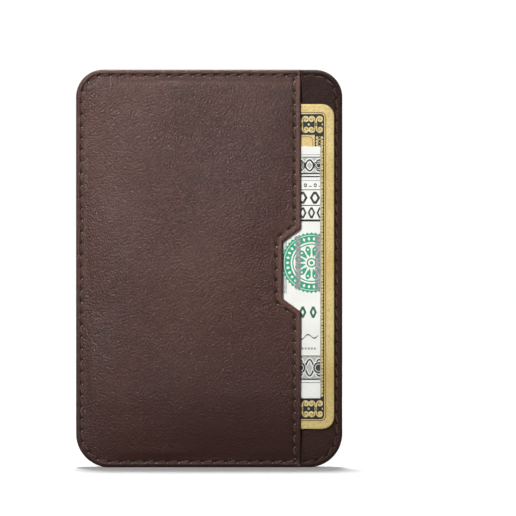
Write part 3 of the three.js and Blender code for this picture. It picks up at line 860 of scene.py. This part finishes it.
def build_back_half():
    piece, x, z = sheet(
        "back_body_leather", wallet_outline(), back_body_inner, back_body_outer,
        [LEATHER], RINGS, spacing=1.6, round_low=0.15, round_high=0.7, share=0.25)
    paint_leather(piece, x, z, [BACK_SEAM_TOP])
    finish_piece(piece, "wallet", "leather", "back_body_panel")
    piece, x, z = sheet(
        "back_pocket_leather", back_pocket_outline(), back_pocket_inner, back_pocket_outer,
        [LEATHER], RINGS, spacing=1.4, round_low=0.12, round_high=0.7, share=0.2)
    paint_leather(piece, x, z, [BACK_SEAM, BACK_HEM], turned_strip(BACK_MOUTH_Z - z))
    finish_piece(piece, "wallet", "leather", "back_pocket_panel")
    piece, *_ = sheet(
        "back_lining_cloth", wallet_outline(LINING_INSET), lambda x, z: SEAM_Y + back_body_swell(x, z) + 0.01,
        lambda x, z: BACK_LINING_Y + back_body_swell(x, z) - 0.01, [LINING_CLOTH], THIN_RINGS, spacing=1.6,
        round_low=0.08, round_high=0.08)
    finish_piece(piece, "wallet", "lining", "back_shield_lining")
    sew("back_border_stitches", BACK_SEAM, back_pocket_outer, 1, "back_border_stitch")
    sew("back_border_stitches_top", BACK_SEAM_TOP, back_body_outer, 1, "back_border_stitch_top")
    sew("back_hem_stitches", BACK_HEM, back_pocket_outer, 1, "back_pocket_hem_stitch")


# ---------------- flat print
class Print:
    """Flat shapes of ink on a piece's front face, cut to a rectangle, each level a little further out."""

    def __init__(self, box):
        self.box = box
        self.points, self.faces, self.kinds = [], [], []

    def polygon(self, points, kind, rise=0):
        low_x, low_z, high_x, high_z = self.box
        cut = [np.array(p, float) for p in points]
        for axis, limit, sign in ((0, low_x, 1), (0, high_x, -1), (1, low_z, 1), (1, high_z, -1)):
            kept = []
            for i, here in enumerate(cut):
                before = cut[i - 1]
                a, b = sign * (before[axis] - limit), sign * (here[axis] - limit)
                if (a < 0) != (b < 0):
                    kept.append(before + (here - before) * (a / (a - b)))
                if b >= 0:
                    kept.append(here)
            cut = kept
        cut = [p for i, p in enumerate(cut) if np.abs(p - cut[i - 1]).max() > 1e-4]
        if len(cut) < 3:
            return
        area = signed_area(cut)
        if abs(area) < 1e-5:
            return
        if area < 0:
            cut = cut[::-1]
        base = len(self.points)
        self.points.extend((p[0], rise, p[1]) for p in cut)
        self.faces.append(tuple(range(base, base + len(cut))))
        self.kinds.append(kind)

    def join(self, other):
        """Adds the shapes of another print, already cut to its own rectangle."""
        for face, kind in zip(other.faces, other.kinds):
            rise = other.points[face[0]][1]
            self.polygon([(other.points[i][0], other.points[i][2]) for i in face], kind, rise)

    def rectangle(self, low_x, low_z, high_x, high_z, kind, rise=0):
        self.polygon([(low_x, low_z), (high_x, low_z), (high_x, high_z), (low_x, high_z)], kind, rise)

    def ribbon(self, path, width, kind, rise=0, closed=False):
        """A line of ink; width is one number or one for each point."""
        path = np.asarray(path, float)
        count = len(path)
        widths = np.full(count, width, float) if np.isscalar(width) else np.asarray(width, float)
        if closed:
            before, after = np.roll(path, 1, axis=0), np.roll(path, -1, axis=0)
        else:
            before, after = np.vstack([path[:1], path[:-1]]), np.vstack([path[1:], path[-1:]])
        way = after - before
        way /= np.maximum(1e-9, np.linalg.norm(way, axis=1))[:, None]
        side = np.column_stack([-way[:, 1], way[:, 0]]) * widths[:, None] / 2
        left, right = path + side, path - side
        for i in range(count if closed else count - 1):
            j = (i + 1) % count
            self.polygon([left[i], right[i], right[j], left[j]], kind, rise)

    def disc(self, x, z, radius, kind, rise=0, count=20, squash=1.0):
        self.polygon(circle(x, z, radius, count, squash), kind, rise)

    def ring(self, x, z, radius, width, kind, rise=0, count=48, squash=1.0):
        self.ribbon(circle(x, z, radius, count, squash), width, kind, rise, closed=True)


def circle(x, z, radius, count, squash=1.0):
    angles = np.linspace(0, 2 * math.pi, count, endpoint=False)
    return np.column_stack([x + radius * np.cos(angles), z + radius * squash * np.sin(angles)])


INK_RISE = 0.012


def add_print(piece, ink, surface, outward, materials, body, slot_name):
    """Lays the ink just outside a piece's surface."""
    points = np.array(ink.points)
    points[:, 1] = surface(points[:, 0], points[:, 2]) + outward * INK_RISE * (1 + points[:, 1])
    faces = [face[::-1] for face in ink.faces] if outward > 0 else ink.faces
    finish_piece(add_mesh(piece.name + "_ink", points, faces, materials, ink.kinds), body, slot_name)


def card_ornament(ink, x0, x1, z0, z1, kind):
    """Sprigs of four mirrored curls along a band, cut to the band."""
    own = Print((x0, z0, x1, z1))
    across = (z1 - z0) < (x1 - x0)
    long0, long1 = (x0, x1) if across else (z0, z1)
    thick = (z1 - z0) if across else (x1 - x0)
    middle = (z0 + z1) / 2 if across else (x0 + x1) / 2
    count = round((long1 - long0) / thick / 0.78)
    pitch = (long1 - long0) / count
    stroke, radius = 0.085 * thick, 0.17 * thick
    t = np.linspace(0, 1, 20)
    reach = radius * (1 - 0.72 * t)
    angle = math.pi * (1 - 2.4 * t)
    start_x, start_z = 0.05 * thick + radius, 0.27 * thick
    spiral = np.column_stack([start_x + reach * np.cos(angle), start_z + reach * np.sin(angle)])
    sprig = np.vstack([[0, 0], [0.03 * thick, 0.1 * thick], spiral])
    widths = np.concatenate([[0.5 * stroke, 0.8 * stroke], stroke * (0.7 + 0.5 * np.sin(np.pi * t))])
    disc = circle(0, 0, 1, 10)

    def place(path):
        return path if across else path[:, ::-1]

    for i in range(count):
        centre = np.array([long0 + (i + 0.5) * pitch, middle])
        for flip in ((1, 1), (-1, 1), (1, -1), (-1, -1)):
            path = centre + sprig * np.array(flip)
            own.ribbon(place(path), widths, kind, 2)
            own.polygon(place(path[-1] + 0.8 * stroke * disc), kind, 2)
        own.polygon(place(centre + stroke * disc * np.array([0.9, 1.3])), kind, 2)
        own.polygon(place(centre + [pitch / 2, 0] + 0.7 * stroke * disc), kind, 2)
    ink.join(own)


def build_card():
    """The gold card, with a dark ornamented frame between two fine lines."""
    low, high = node_box("front_card")
    outline = box_outline(low[0], low[2], high[0], high[2], CARD_RADIUS, 1.2)
    piece, *_ = sheet("gold_card", outline, plane(low[1]), plane(high[1]), [GOLD],
                      [0, 0.03, 0.08, 0.16, 0.5, 2], spacing=4, round_low=0.14, round_high=0.14)
    finish_piece(piece, "front_card", "card_gold", "front_card")
    inner = 2.25
    ink = Print((low[0] + inner - 0.5, low[2] + inner - 0.5, high[0] - inner + 0.5, high[2] - inner + 0.5))
    outer_line = box_outline(low[0] + inner, low[2] + inner, high[0] - inner, high[2] - inner, 1.3, 0.4)
    ink.ribbon(outer_line.ring(), 0.2, 1, closed=True)
    inset = inner + 0.38
    x0, x1, z0, z1 = low[0] + inset, high[0] - inset, low[2] + inset, high[2] - inset
    frame_path = box_outline(x0, z0, x1, z1, 1.0, 0.5).ring()
    tall, wide = 5.5, 2.5
    window_low, window_high = [x0 + wide, z0 + tall], [x1 - wide, z1 - tall]
    for a, b in zip(frame_path, np.roll(frame_path, -1, axis=0)):
        ink.polygon([a, b, np.clip(b, window_low, window_high), np.clip(a, window_low, window_high)], 0, 1)
    for band_low, band_high in ((z1 - tall + 0.3, z1 - 0.3), (z0 + 0.3, z0 + tall - 0.3)):
        card_ornament(ink, x0 + 0.4, x1 - 0.4, band_low, band_high, 2)
    for band_low, band_high in ((x1 - wide + 0.2, x1 - 0.2), (x0 + 0.2, x0 + wide - 0.2)):
        card_ornament(ink, band_low, band_high, z0 + tall + 0.4, z1 - tall - 0.4, 2)
    inner_line = box_outline(x0 + wide + 0.5, z0 + tall + 0.5, x1 - wide - 0.5, z1 - tall - 0.5, 1.0, 0.4)
    ink.ribbon(inner_line.ring(), 0.16, 1, closed=True)
    inks = [CARD_BLACK, CARD_LINE, CARD_ORNAMENT]
    add_print(piece, ink, plane(low[1]), -1, inks, "front_card", "card_gold")


DARK, GREY, PALE, GREEN, DEEP, BLANK = range(6)
NOTE_INKS = [NOTE_DARK, NOTE_GREY, NOTE_PALE, NOTE_GREEN, NOTE_DEEP_GREEN, PAPER]


def hatch(ink, x0, z0, x1, z1, step, width, kind, rise=0, slope=0.0):
    """Fine engraved lines that fill a rectangle, upright or leaning."""
    own = Print((x0, z0, x1, z1))
    lean = slope * (z1 - z0)
    for x in np.arange(x0 - abs(lean), x1 + abs(lean), step):
        own.ribbon([(x, z0), (x + lean, z1)], width, kind, rise)
    ink.join(own)


def rosette(ink, cx, cz, radius):
    """A scalloped rosette: a broad ring with small lozenges left blank, and a flower inside it."""
    centre = np.array([cx, cz])
    t = np.linspace(0, 2 * math.pi, 176, endpoint=False)
    round_it = np.column_stack([np.cos(t), np.sin(t)])
    rim = centre + (radius * (1 + 0.03 * np.cos(44 * t)))[:, None] * round_it
    inner = centre + 0.7 * radius * round_it
    for i in range(len(t)):
        j = (i + 1) % len(t)
        ink.polygon([rim[i], rim[j], inner[j], inner[i]], GREEN, 1)
    ink.ring(cx, cz, radius * 0.925, 0.14, BLANK, 2)
    for out in circle(0, 0, 1, 30):
        mid = centre + 0.81 * radius * out
        ink.ribbon([mid - out * 0.06 * radius, mid, mid + out * 0.06 * radius], [0.1, 0.75, 0.1], BLANK, 2)
    ink.ring(cx, cz, radius * 0.63, 0.3, GREEN, 1)
    half_petal = [(0.2, 0), (0.32, 0.06), (0.46, 0.095), (0.55, 0.05), (0.58, 0)]
    petal = half_petal + [(u, -v) for u, v in half_petal[-2:0:-1]]
    for k in range(12):
        a = 2 * math.pi * (k + 0.5) / 12
        out, side = np.array([math.cos(a), math.sin(a)]), np.array([-math.sin(a), math.cos(a)])
        ink.polygon([centre + radius * (u * out + v * side) for u, v in petal], GREEN, 1)
        ink.disc(*(centre + radius * 0.46 * out), radius * 0.035, BLANK, 2, count=10)
    ink.ring(cx, cz, radius * 0.14, 0.35, GREEN, 1)
    ink.disc(cx, cz, radius * 0.06, GREEN, 1)


def note_band(ink, x0, x1, z0, z1):
    """An engraved band: rules, a fine ground and interlaced waves with round studs."""
    ink.rectangle(x0, z0, x1, z1, PALE, 0)
    hatch(ink, x0, z0 + 0.3, x1, z1 - 0.3, 0.34, 0.13, GREY, 1, slope=0.5)
    middle, tall = (z0 + z1) / 2, (z1 - z0) / 2 - 0.5
    t = np.arange(x0, x1, 0.2)
    for phase in (0, math.pi):
        wave = np.column_stack([t, middle + tall * 0.8 * np.sin(t * 1.25 + phase)])
        ink.ribbon(wave, 1.0, BLANK, 2)
        ink.ribbon(wave, 0.4, DARK, 3)
    for x in np.arange(x0 + 1.25, x1 + 0.05, 5.03):
        ink.disc(x, middle, tall * 0.62, BLANK, 4)
        ink.disc(x, middle, tall * 0.56, DARK, 5)
        ink.ring(x, middle, tall * 0.36, 0.16, BLANK, 6)
    ink.rectangle(x0, z1 - 0.22, x1, z1, DARK, 4)
    ink.rectangle(x0, z0, x1, z0 + 0.34, DARK, 4)


def lozenge(ink, x, z, wide, tall, hollow, kind):
    """An upright six-sided outline."""
    for size, colour, rise in ((1.0, kind, 1), (hollow, BLANK, 2)):
        w, h = wide * (1 - (1 - size) * 1.15), tall * size
        corners = ((-w, 0), (-0.3 * w, -h), (0.3 * w, -h), (w, 0), (0.3 * w, h), (-0.3 * w, h))
        ink.polygon([(x + dx, z + dz) for dx, dz in corners], colour, rise)


def block_row(ink, x0, x1, z0, z1, pitch, first):
    """A row of upright outlined lozenges between two rules, in place of lettering."""
    ink.rectangle(x0, z0 - 0.55, x1, z0 - 0.3, DARK, 1)
    middle, tall = (z0 + z1) / 2, (z1 - z0) / 2
    for x in np.arange(first, x1 + pitch, pitch):
        lozenge(ink, x, middle, pitch * 0.42, tall, 0.55, DARK)


def note_print(x0, z0, x1, z1):
    """The front note's print: bands, rows of lozenges, two rosettes, grey bars and an oval of woven lines."""
    ink = Print((x0 + 0.02, z0 + 0.05, x1 - 0.12, z1 - 0.05))
    ink.rectangle(x0, z1 - 2.25, x1, z1 - 2.1, GREY, 0)
    note_band(ink, x0, x1, z1 - 7.3, z1 - 2.7)
    ink.rectangle(x0, z1 - 8.1, x1, z1 - 7.75, DARK, 1)
    ink.rectangle(x0, z1 - 9.0, x1, z1 - 8.85, GREY, 1)
    for x in np.arange(x0 + 1.2, x1, 2.6):
        ink.disc(x, z1 - 10.2, 0.42, DARK, 1, squash=1.2)
        ink.disc(x, z1 - 10.2, 0.2, BLANK, 2)
        ink.rectangle(x + 0.9, z1 - 10.6, x + 1.7, z1 - 10.4, DARK, 1)
    ink.rectangle(x0, z1 - 11.5, x1, z1 - 11.3, DARK, 1)
    block_row(ink, x0, x1, z1 - 15.1, z1 - 11.9, 3.3, x1 - 1.5 - 3.3 * 20)
    block_row(ink, x0, x1, z1 - 18.9, z1 - 16.0, 2.3, x1 - 2.4 - 2.3 * 28)
    ink.rectangle(x0, z1 - 19.75, x1, z1 - 19.25, DARK, 1)
    cx, cz = x1 - 2.4, z1 - 30.6
    hatch(ink, x1 - 12.6, cz - 8.0, x1 - 8.8, cz + 7.0, 0.3, 0.14, GREY, 0)
    rosette(ink, cx, cz, 7.8)
    hatch(ink, x1 - 6.6, cz - 7.0, x1 - 5.1, cz + 7.0, 0.25, 0.2, GREY, 3)
    hatch(ink, x1 - 1.5, cz - 7.4, x1, cz + 7.4, 0.25, 0.2, GREY, 3)
    rosette(ink, x0 + 6.5, z1 - 46.5, 4.2)
    for x in np.arange(x1 - 10.2, x1 + 1, 2.75):
        lozenge(ink, x, z0 + 22.7, 0.95, 1.5, 0.42, DEEP)
    t = np.linspace(0, 1, 60)
    for start in (x1 - 11, x1 - 27):
        squiggle = np.column_stack([start + 10.3 * t, z0 + 15.6 + 0.55 * np.sin(t * 19) + 0.9 * t])
        ink.ribbon(squiggle, 0.16 + 0.14 * np.sin(t * 19) ** 2, DARK, 1)
    for x in np.arange(x1 - 8.2, x1 - 1.6, 0.8):
        ink.rectangle(x, z0 + 12.9, x + 0.5, z0 + 13.4, GREY, 1)
    note_band(ink, x0, x1, z0 + 4.9, z0 + 11.3)
    ink.rectangle(x0, z0 + 4.1, x1, z0 + 4.3, GREY, 0)
    for k in range(7):
        ink.ring(x0 + 20, z0 + 34, 9.5 - 0.55 * k, 0.16, GREY if k % 2 else DARK, 1, count=60, squash=1.3)
    angles = np.linspace(0, 2 * math.pi, 80, endpoint=False)
    for phase in range(8):
        reach = 4.0 + 1.6 * np.sin(4 * angles + phase * math.pi / 4)
        knot = np.column_stack([x0 + 20 + reach * np.cos(angles), z0 + 34 + 1.3 * reach * np.sin(angles)])
        ink.ribbon(knot, 0.1, GREY, 1, closed=True)
    return ink


def build_front_note():
    low, high = node_box("front_note")
    outline = box_outline(low[0], low[2], high[0], high[2], 0.3, 1.2)
    piece, *_ = sheet("folded_note_front", outline, plane(low[1]), plane(high[1]), [PAPER],
                      [0, 0.03, 0.08, 0.15, 0.5, 2], spacing=4, round_low=0.12, round_high=0.12)
    finish_piece(piece, "front_note", "note_paper", "front_note")
    ink = note_print(low[0], low[2], high[0], high[2])
    add_print(piece, ink, plane(low[1]), -1, NOTE_INKS, "front_note", "note_paper")


# ---------------- the back note, the strap and its tab
STRAP_LEAN = 0.0104  # Y for each unit of Z
STRAP_Y = 3.28
STRAP_DEPTH = 0.3
STRAP_TOP = 91.8
GAP = 0.08
NOTE_DEPTH = 0.35
NOTE_BOW = 2.0
back_note_low, back_note_high = node_box("back_note")


def back_note_inner(x, z):
    bow = NOTE_BOW * (np.abs(x) / ((back_note_high[0] - back_note_low[0]) / 2)) ** 3
    return STRAP_Y + STRAP_DEPTH + GAP + STRAP_LEAN * z - bow


def back_note_outer(x, z):
    return back_note_inner(x, z) + NOTE_DEPTH


def build_back_note():
    (x0, _, z0), (x1, _, z1) = back_note_low, back_note_high
    piece, *_ = sheet(
        "folded_note_back", box_outline(x0, z0, x1, z1, 0.3, 1.2), back_note_inner, back_note_outer,
        [BACK_PAPER], [0, 0.03, 0.08, 0.15, 0.5, 1.5], spacing=2.0, round_low=0.12, round_high=0.12)
    finish_piece(piece, "back_note", "back_paper", "back_note")
    ink = Print((x0 + 0.1, z0 + 0.1, x1 - 0.1, z1 - 0.1))
    for x in np.arange(x0 + 1.6, x1 - 1.6, 0.8):
        ink.rectangle(x, z0 + 2, x + 0.82, z1 - 1.7, PALE)
    for x in np.arange(x0 + 1.9, x1 - 2.0, 0.5):
        ink.rectangle(x, z0 + 2.3, x + 0.16, z1 - 2.0, GREY, 1)
    for x in (x0 + 0.65, x1 - 0.85):
        ink.rectangle(x, z0 + 1.2, x + 0.2, z1 - 0.9, GREY, 1)
    add_print(piece, ink, back_note_outer, 1, NOTE_INKS, "back_note", "back_paper")


def strap_sheet(name, node, behind, tuck=0.0):
    """A flat run of the strap; tuck is how far its top reaches in beneath the tab."""
    low, high = node_box(node)
    outline = box_outline(low[0], low[2], high[0], high[2] + tuck, 0.25, 1.0)

    def inner(x, z):
        return STRAP_Y + behind + STRAP_LEAN * z

    def outer(x, z):
        return inner(x, z) + STRAP_DEPTH

    piece, x, z = sheet(name, outline, inner, outer, [LEATHER_TAB], [0, 0.04, 0.1, 0.16, 0.5, 1.2],
                        spacing=1.5, round_low=0.12, round_high=0.12)
    paint_leather(piece, x, z, [])
    return piece


def build_strap():
    """The run up to the tab, the run sewn to the pocket, and the loop under the note between them."""
    run = strap_sheet("pull_strap_ribbon", "pull_strap", 0.0, tuck=0.25)
    finish_piece(run, "strap", "strap_leather", "pull_strap")
    wrap = 2 * GAP + STRAP_DEPTH + NOTE_DEPTH
    run = strap_sheet("pull_strap_anchor_ribbon", "pull_strap_anchor_run", wrap)
    finish_piece(run, "wallet", "strap_leather", "pull_strap_anchor_run")
    low, high = node_box("pull_strap_anchor_run")
    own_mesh(run)
    low, high = node_box("pull_strap_loop")
    drop = high[2] - low[2]
    half = (wrap + STRAP_DEPTH) / 2
    centre_y = STRAP_Y + STRAP_LEAN * high[2] + half
    angles = np.linspace(math.pi, 2 * math.pi, 15)
    c, s = np.cos(angles), np.sin(angles)
    outer, inner = (np.column_stack([centre_y + (half - less) * c, high[2] + (drop - less) * s])
                    for less in (0, STRAP_DEPTH))
    section = np.vstack([outer, inner[::-1]])
    middle = (outer + inner) / 2
    middle = np.vstack([middle, middle[::-1]])
    xs = [low[0], low[0] + 0.05, low[0] + 0.15, 0.0, high[0] - 0.15, high[0] - 0.05, high[0]]
    thin = [0.35, 0.75, 1.0, 1.0, 1.0, 0.75, 0.35]
    points = [(x, *(m + (s - m) * k)) for x, k in zip(xs, thin) for s, m in zip(section, middle)]
    n = len(section)
    faces = quad_strips(len(xs), n)
    end = (len(xs) - 1) * n
    for j in range(n // 2 - 1):
        faces.append((j, n - 1 - j, n - 2 - j, j + 1))
        faces.append((end + j, end + j + 1, end + n - 2 - j, end + n - 1 - j))
    piece = add_mesh("pull_strap_loop_ribbon", points, faces, [LEATHER_TAB])
    paint(piece, "edge", np.repeat([1, 0.5, 0, 0, 0, 0.5, 1], n))
    paint(piece, "painted_groove_shade", np.zeros(len(points)))
    paint(piece, "hem", np.zeros(len(points)))
    finish_piece(piece, "back_note", "strap_leather", "pull_strap_loop")


TAB_LEAN = math.radians(31)
TAB_WIDTH = 15.0
TAB_LENGTH = 9.8
TAB_OUTER_DEPTH = 1.05
TAB_INNER_DEPTH = 0.6
TAB_INNER_LENGTH = 6.6
TAB_GLUE = 0.05
TAB_LIFT = 0.8  # from the strap's top to the tab's foot
TAB_SEAM_INSET = 1.4


def on_tab(points):
    """From the tab's own frame, foot at the origin and +Z along it, to where the tab leans."""
    x, y, z = np.asarray(points, float).T
    c, s = math.cos(TAB_LEAN), math.sin(TAB_LEAN)
    foot_y, foot_z = STRAP_Y + STRAP_LEAN * STRAP_TOP, STRAP_TOP + TAB_LIFT
    return np.column_stack([x, foot_y + y * c + z * s, foot_z - y * s + z * c])


def tab_outline(length):
    w, r = TAB_WIDTH / 2, 3.0
    return Outline([(w, 0, 0.4), (w, length, r), (-w, length, r), (-w, 0, 0.4)], 0.4)


def build_tab():
    """The tab's thick outer layer, the shorter layer behind it and the thread through both."""
    start = TAB_INNER_DEPTH + TAB_GLUE
    top = start + TAB_OUTER_DEPTH
    w, turn = TAB_WIDTH / 2 - TAB_SEAM_INSET, 1.6
    high = TAB_LENGTH - TAB_SEAM_INSET - turn
    seam = densify(np.vstack([
        [[w, 0.9]], arc(w - turn, high, turn, 0, 90), arc(-w + turn, high, turn, 90, 180), [[-w, 0.9]],
    ]), 0.4)

    def face(x, z):
        relief, _ = seam_relief(seam, x, z, depth=0.16, wide=0.26, pucker=0.03)
        border = np.minimum(TAB_WIDTH / 2 - np.abs(x), TAB_LENGTH - z)
        return top + 0.06 * bell(border - 0.8, 0.4) - relief

    insets = [0, 0.05, 0.12, 0.22, 0.36, 0.55, 0.8, 1.0, 1.2, 1.4, 1.6, 1.85, 2.2, 2.6]
    piece, x, z = sheet(
        "pull_tab_outer_leather", tab_outline(TAB_LENGTH), plane(start), face, [LEATHER_TAB], insets,
        spacing=0.9, round_low=0.3, round_high=0.5, share=0.4, move=on_tab)
    paint_leather(piece, x, z, [seam])
    finish_piece(piece, "tab", "strap_leather", "pull_tab_outer")
    piece, x, z = sheet(
        "pull_tab_inner_leather", tab_outline(TAB_INNER_LENGTH), plane(0.0), plane(TAB_INNER_DEPTH),
        [LEATHER_TAB], [0, 0.05, 0.12, 0.22, 0.36, 0.8, 1.6], spacing=1.2, round_low=0.28, round_high=0.2,
        move=on_tab)
    paint_leather(piece, x, z, [])
    finish_piece(piece, "tab", "strap_leather", "pull_tab_inner")
    sew("pull_tab_stitches", seam, face, 1, "pull_tab_stitch", body="tab",
        pitch=2.4, width=0.36, place=on_tab)


# ---------------- the stage
def build_stage():
    """A pale floor and a plain white dome, neither of which throws light back on the wallet."""
    reach = 3.0
    corners = ((-1, -1), (1, -1), (1, 1), (-1, 1))
    floor = add_plain("floor", [(x * reach, y * reach, 0) for x, y in corners], [(0, 1, 2, 3)])
    p = Paint("pale_floor")
    floor.data.materials.append(p.set(
        Base_Color=p.mix(p.noise(60), rgb("bcbcbc"), rgb("b9b9b9")), Roughness=1.0, Specular_IOR_Level=0.0))
    rings, around, radius = 10, 32, 2.6
    points = []
    for k in range(rings + 1):
        tilt = math.radians(-6 + 96 * k / rings)
        points += [(x, y, radius * math.sin(tilt)) for x, y in circle(0, 0, radius * math.cos(tilt), around)]
    dome = add_plain("backdrop_dome", points, quad_strips(rings + 1, around))
    dome.data.materials.append(Paint("white_backdrop").set(
        Base_Color=(0, 0, 0, 1), Specular_IOR_Level=0.0, Emission_Color=(1, 1, 1, 1), Emission_Strength=1.02))
    for piece in (floor, dome):
        piece.visible_diffuse = False
        piece.visible_glossy = False
        piece.visible_shadow = False


def add_plain(name, points, faces):
    """A flat-shaded piece from points in metres."""
    mesh = bpy.data.meshes.new(name)
    mesh.from_pydata(points, [], faces)
    return link(name, mesh)


KEY_POWER = 48.0
KEY_CONE = 14.7
KEY_SIZE = 0.09
KEY_PLACE = (-0.20, -0.55, 0.33)
KEY_AIM = (-0.024, 0, 0.075)
SUN_POWER = 5.0
SUN_ANGLE = 9
SUN_PLACE = (0, 0, 0.5)
SUN_AIM = (0.015, -0.085, 0)
WORLD_FRONT = 0.33
WORLD_ROUND = 0.75
WORLD_BELOW = 0.2


def build_world():
    """Soft light from all round, weaker from the front and much weaker from below."""
    world = bpy.data.worlds.new("studio")
    bpy.context.scene.world = world
    world.use_nodes = True
    sky = Nodes(world.node_tree)
    way = sky.node("ShaderNodeTexCoord").outputs["Generated"]
    parts = sky.node("ShaderNodeSeparateXYZ", {0: way}).outputs
    level_light = sky.between(parts["Y"], -0.85, -0.1, WORLD_FRONT, WORLD_ROUND)
    strength = sky.math("MULTIPLY", level_light, sky.between(parts["Z"], -0.25, 0.1, WORLD_BELOW, 1.0))
    background = sky.tree.nodes["Background"]
    sky.put(background.inputs["Color"], (1, 1, 1, 1))
    sky.put(background.inputs["Strength"], strength)


def place_light(data, place, aim):
    lamp = link(data.name, data)
    lamp.location = place
    lamp.rotation_euler = (Vector(aim) - Vector(place)).to_track_quat("-Z", "Y").to_euler()


def build_lights():
    key = bpy.data.lights.new("upper_left_key", "SPOT")
    key.energy = KEY_POWER
    key.spot_size = math.radians(KEY_CONE)
    key.spot_blend = 1.0
    key.shadow_soft_size = KEY_SIZE
    place_light(key, KEY_PLACE, KEY_AIM)
    overhead = bpy.data.lights.new("overhead", "SUN")
    overhead.energy = SUN_POWER
    overhead.angle = math.radians(SUN_ANGLE)
    place_light(overhead, SUN_PLACE, SUN_AIM)


CAMERA_DISTANCE = 0.690
VIEW_WIDTH = 0.1362
VIEW_SHIFT = (0.0945, 0.0203)


def build_camera():
    """A long lens at the height of the wallet's middle, straight in front of it."""
    data = bpy.data.cameras.new("camera")
    data.sensor_width = 36
    data.lens = data.sensor_width * CAMERA_DISTANCE / VIEW_WIDTH
    data.shift_x, data.shift_y = VIEW_SHIFT
    data.clip_start, data.clip_end = 0.01, 20
    camera = link("camera", data)
    camera.location = (0, -CAMERA_DISTANCE, HEIGHT / 2 * MM)
    camera.rotation_euler = (math.radians(90), 0, 0)
    bpy.context.scene.camera = camera


build_front_half()
build_back_half()
build_card()
build_front_note()
build_back_note()
build_strap()
build_tab()
build_stage()
build_world()
build_lights()
build_camera()

bpy.context.scene.view_settings.view_transform = "Standard"
bpy.context.scene.view_settings.look = "None"
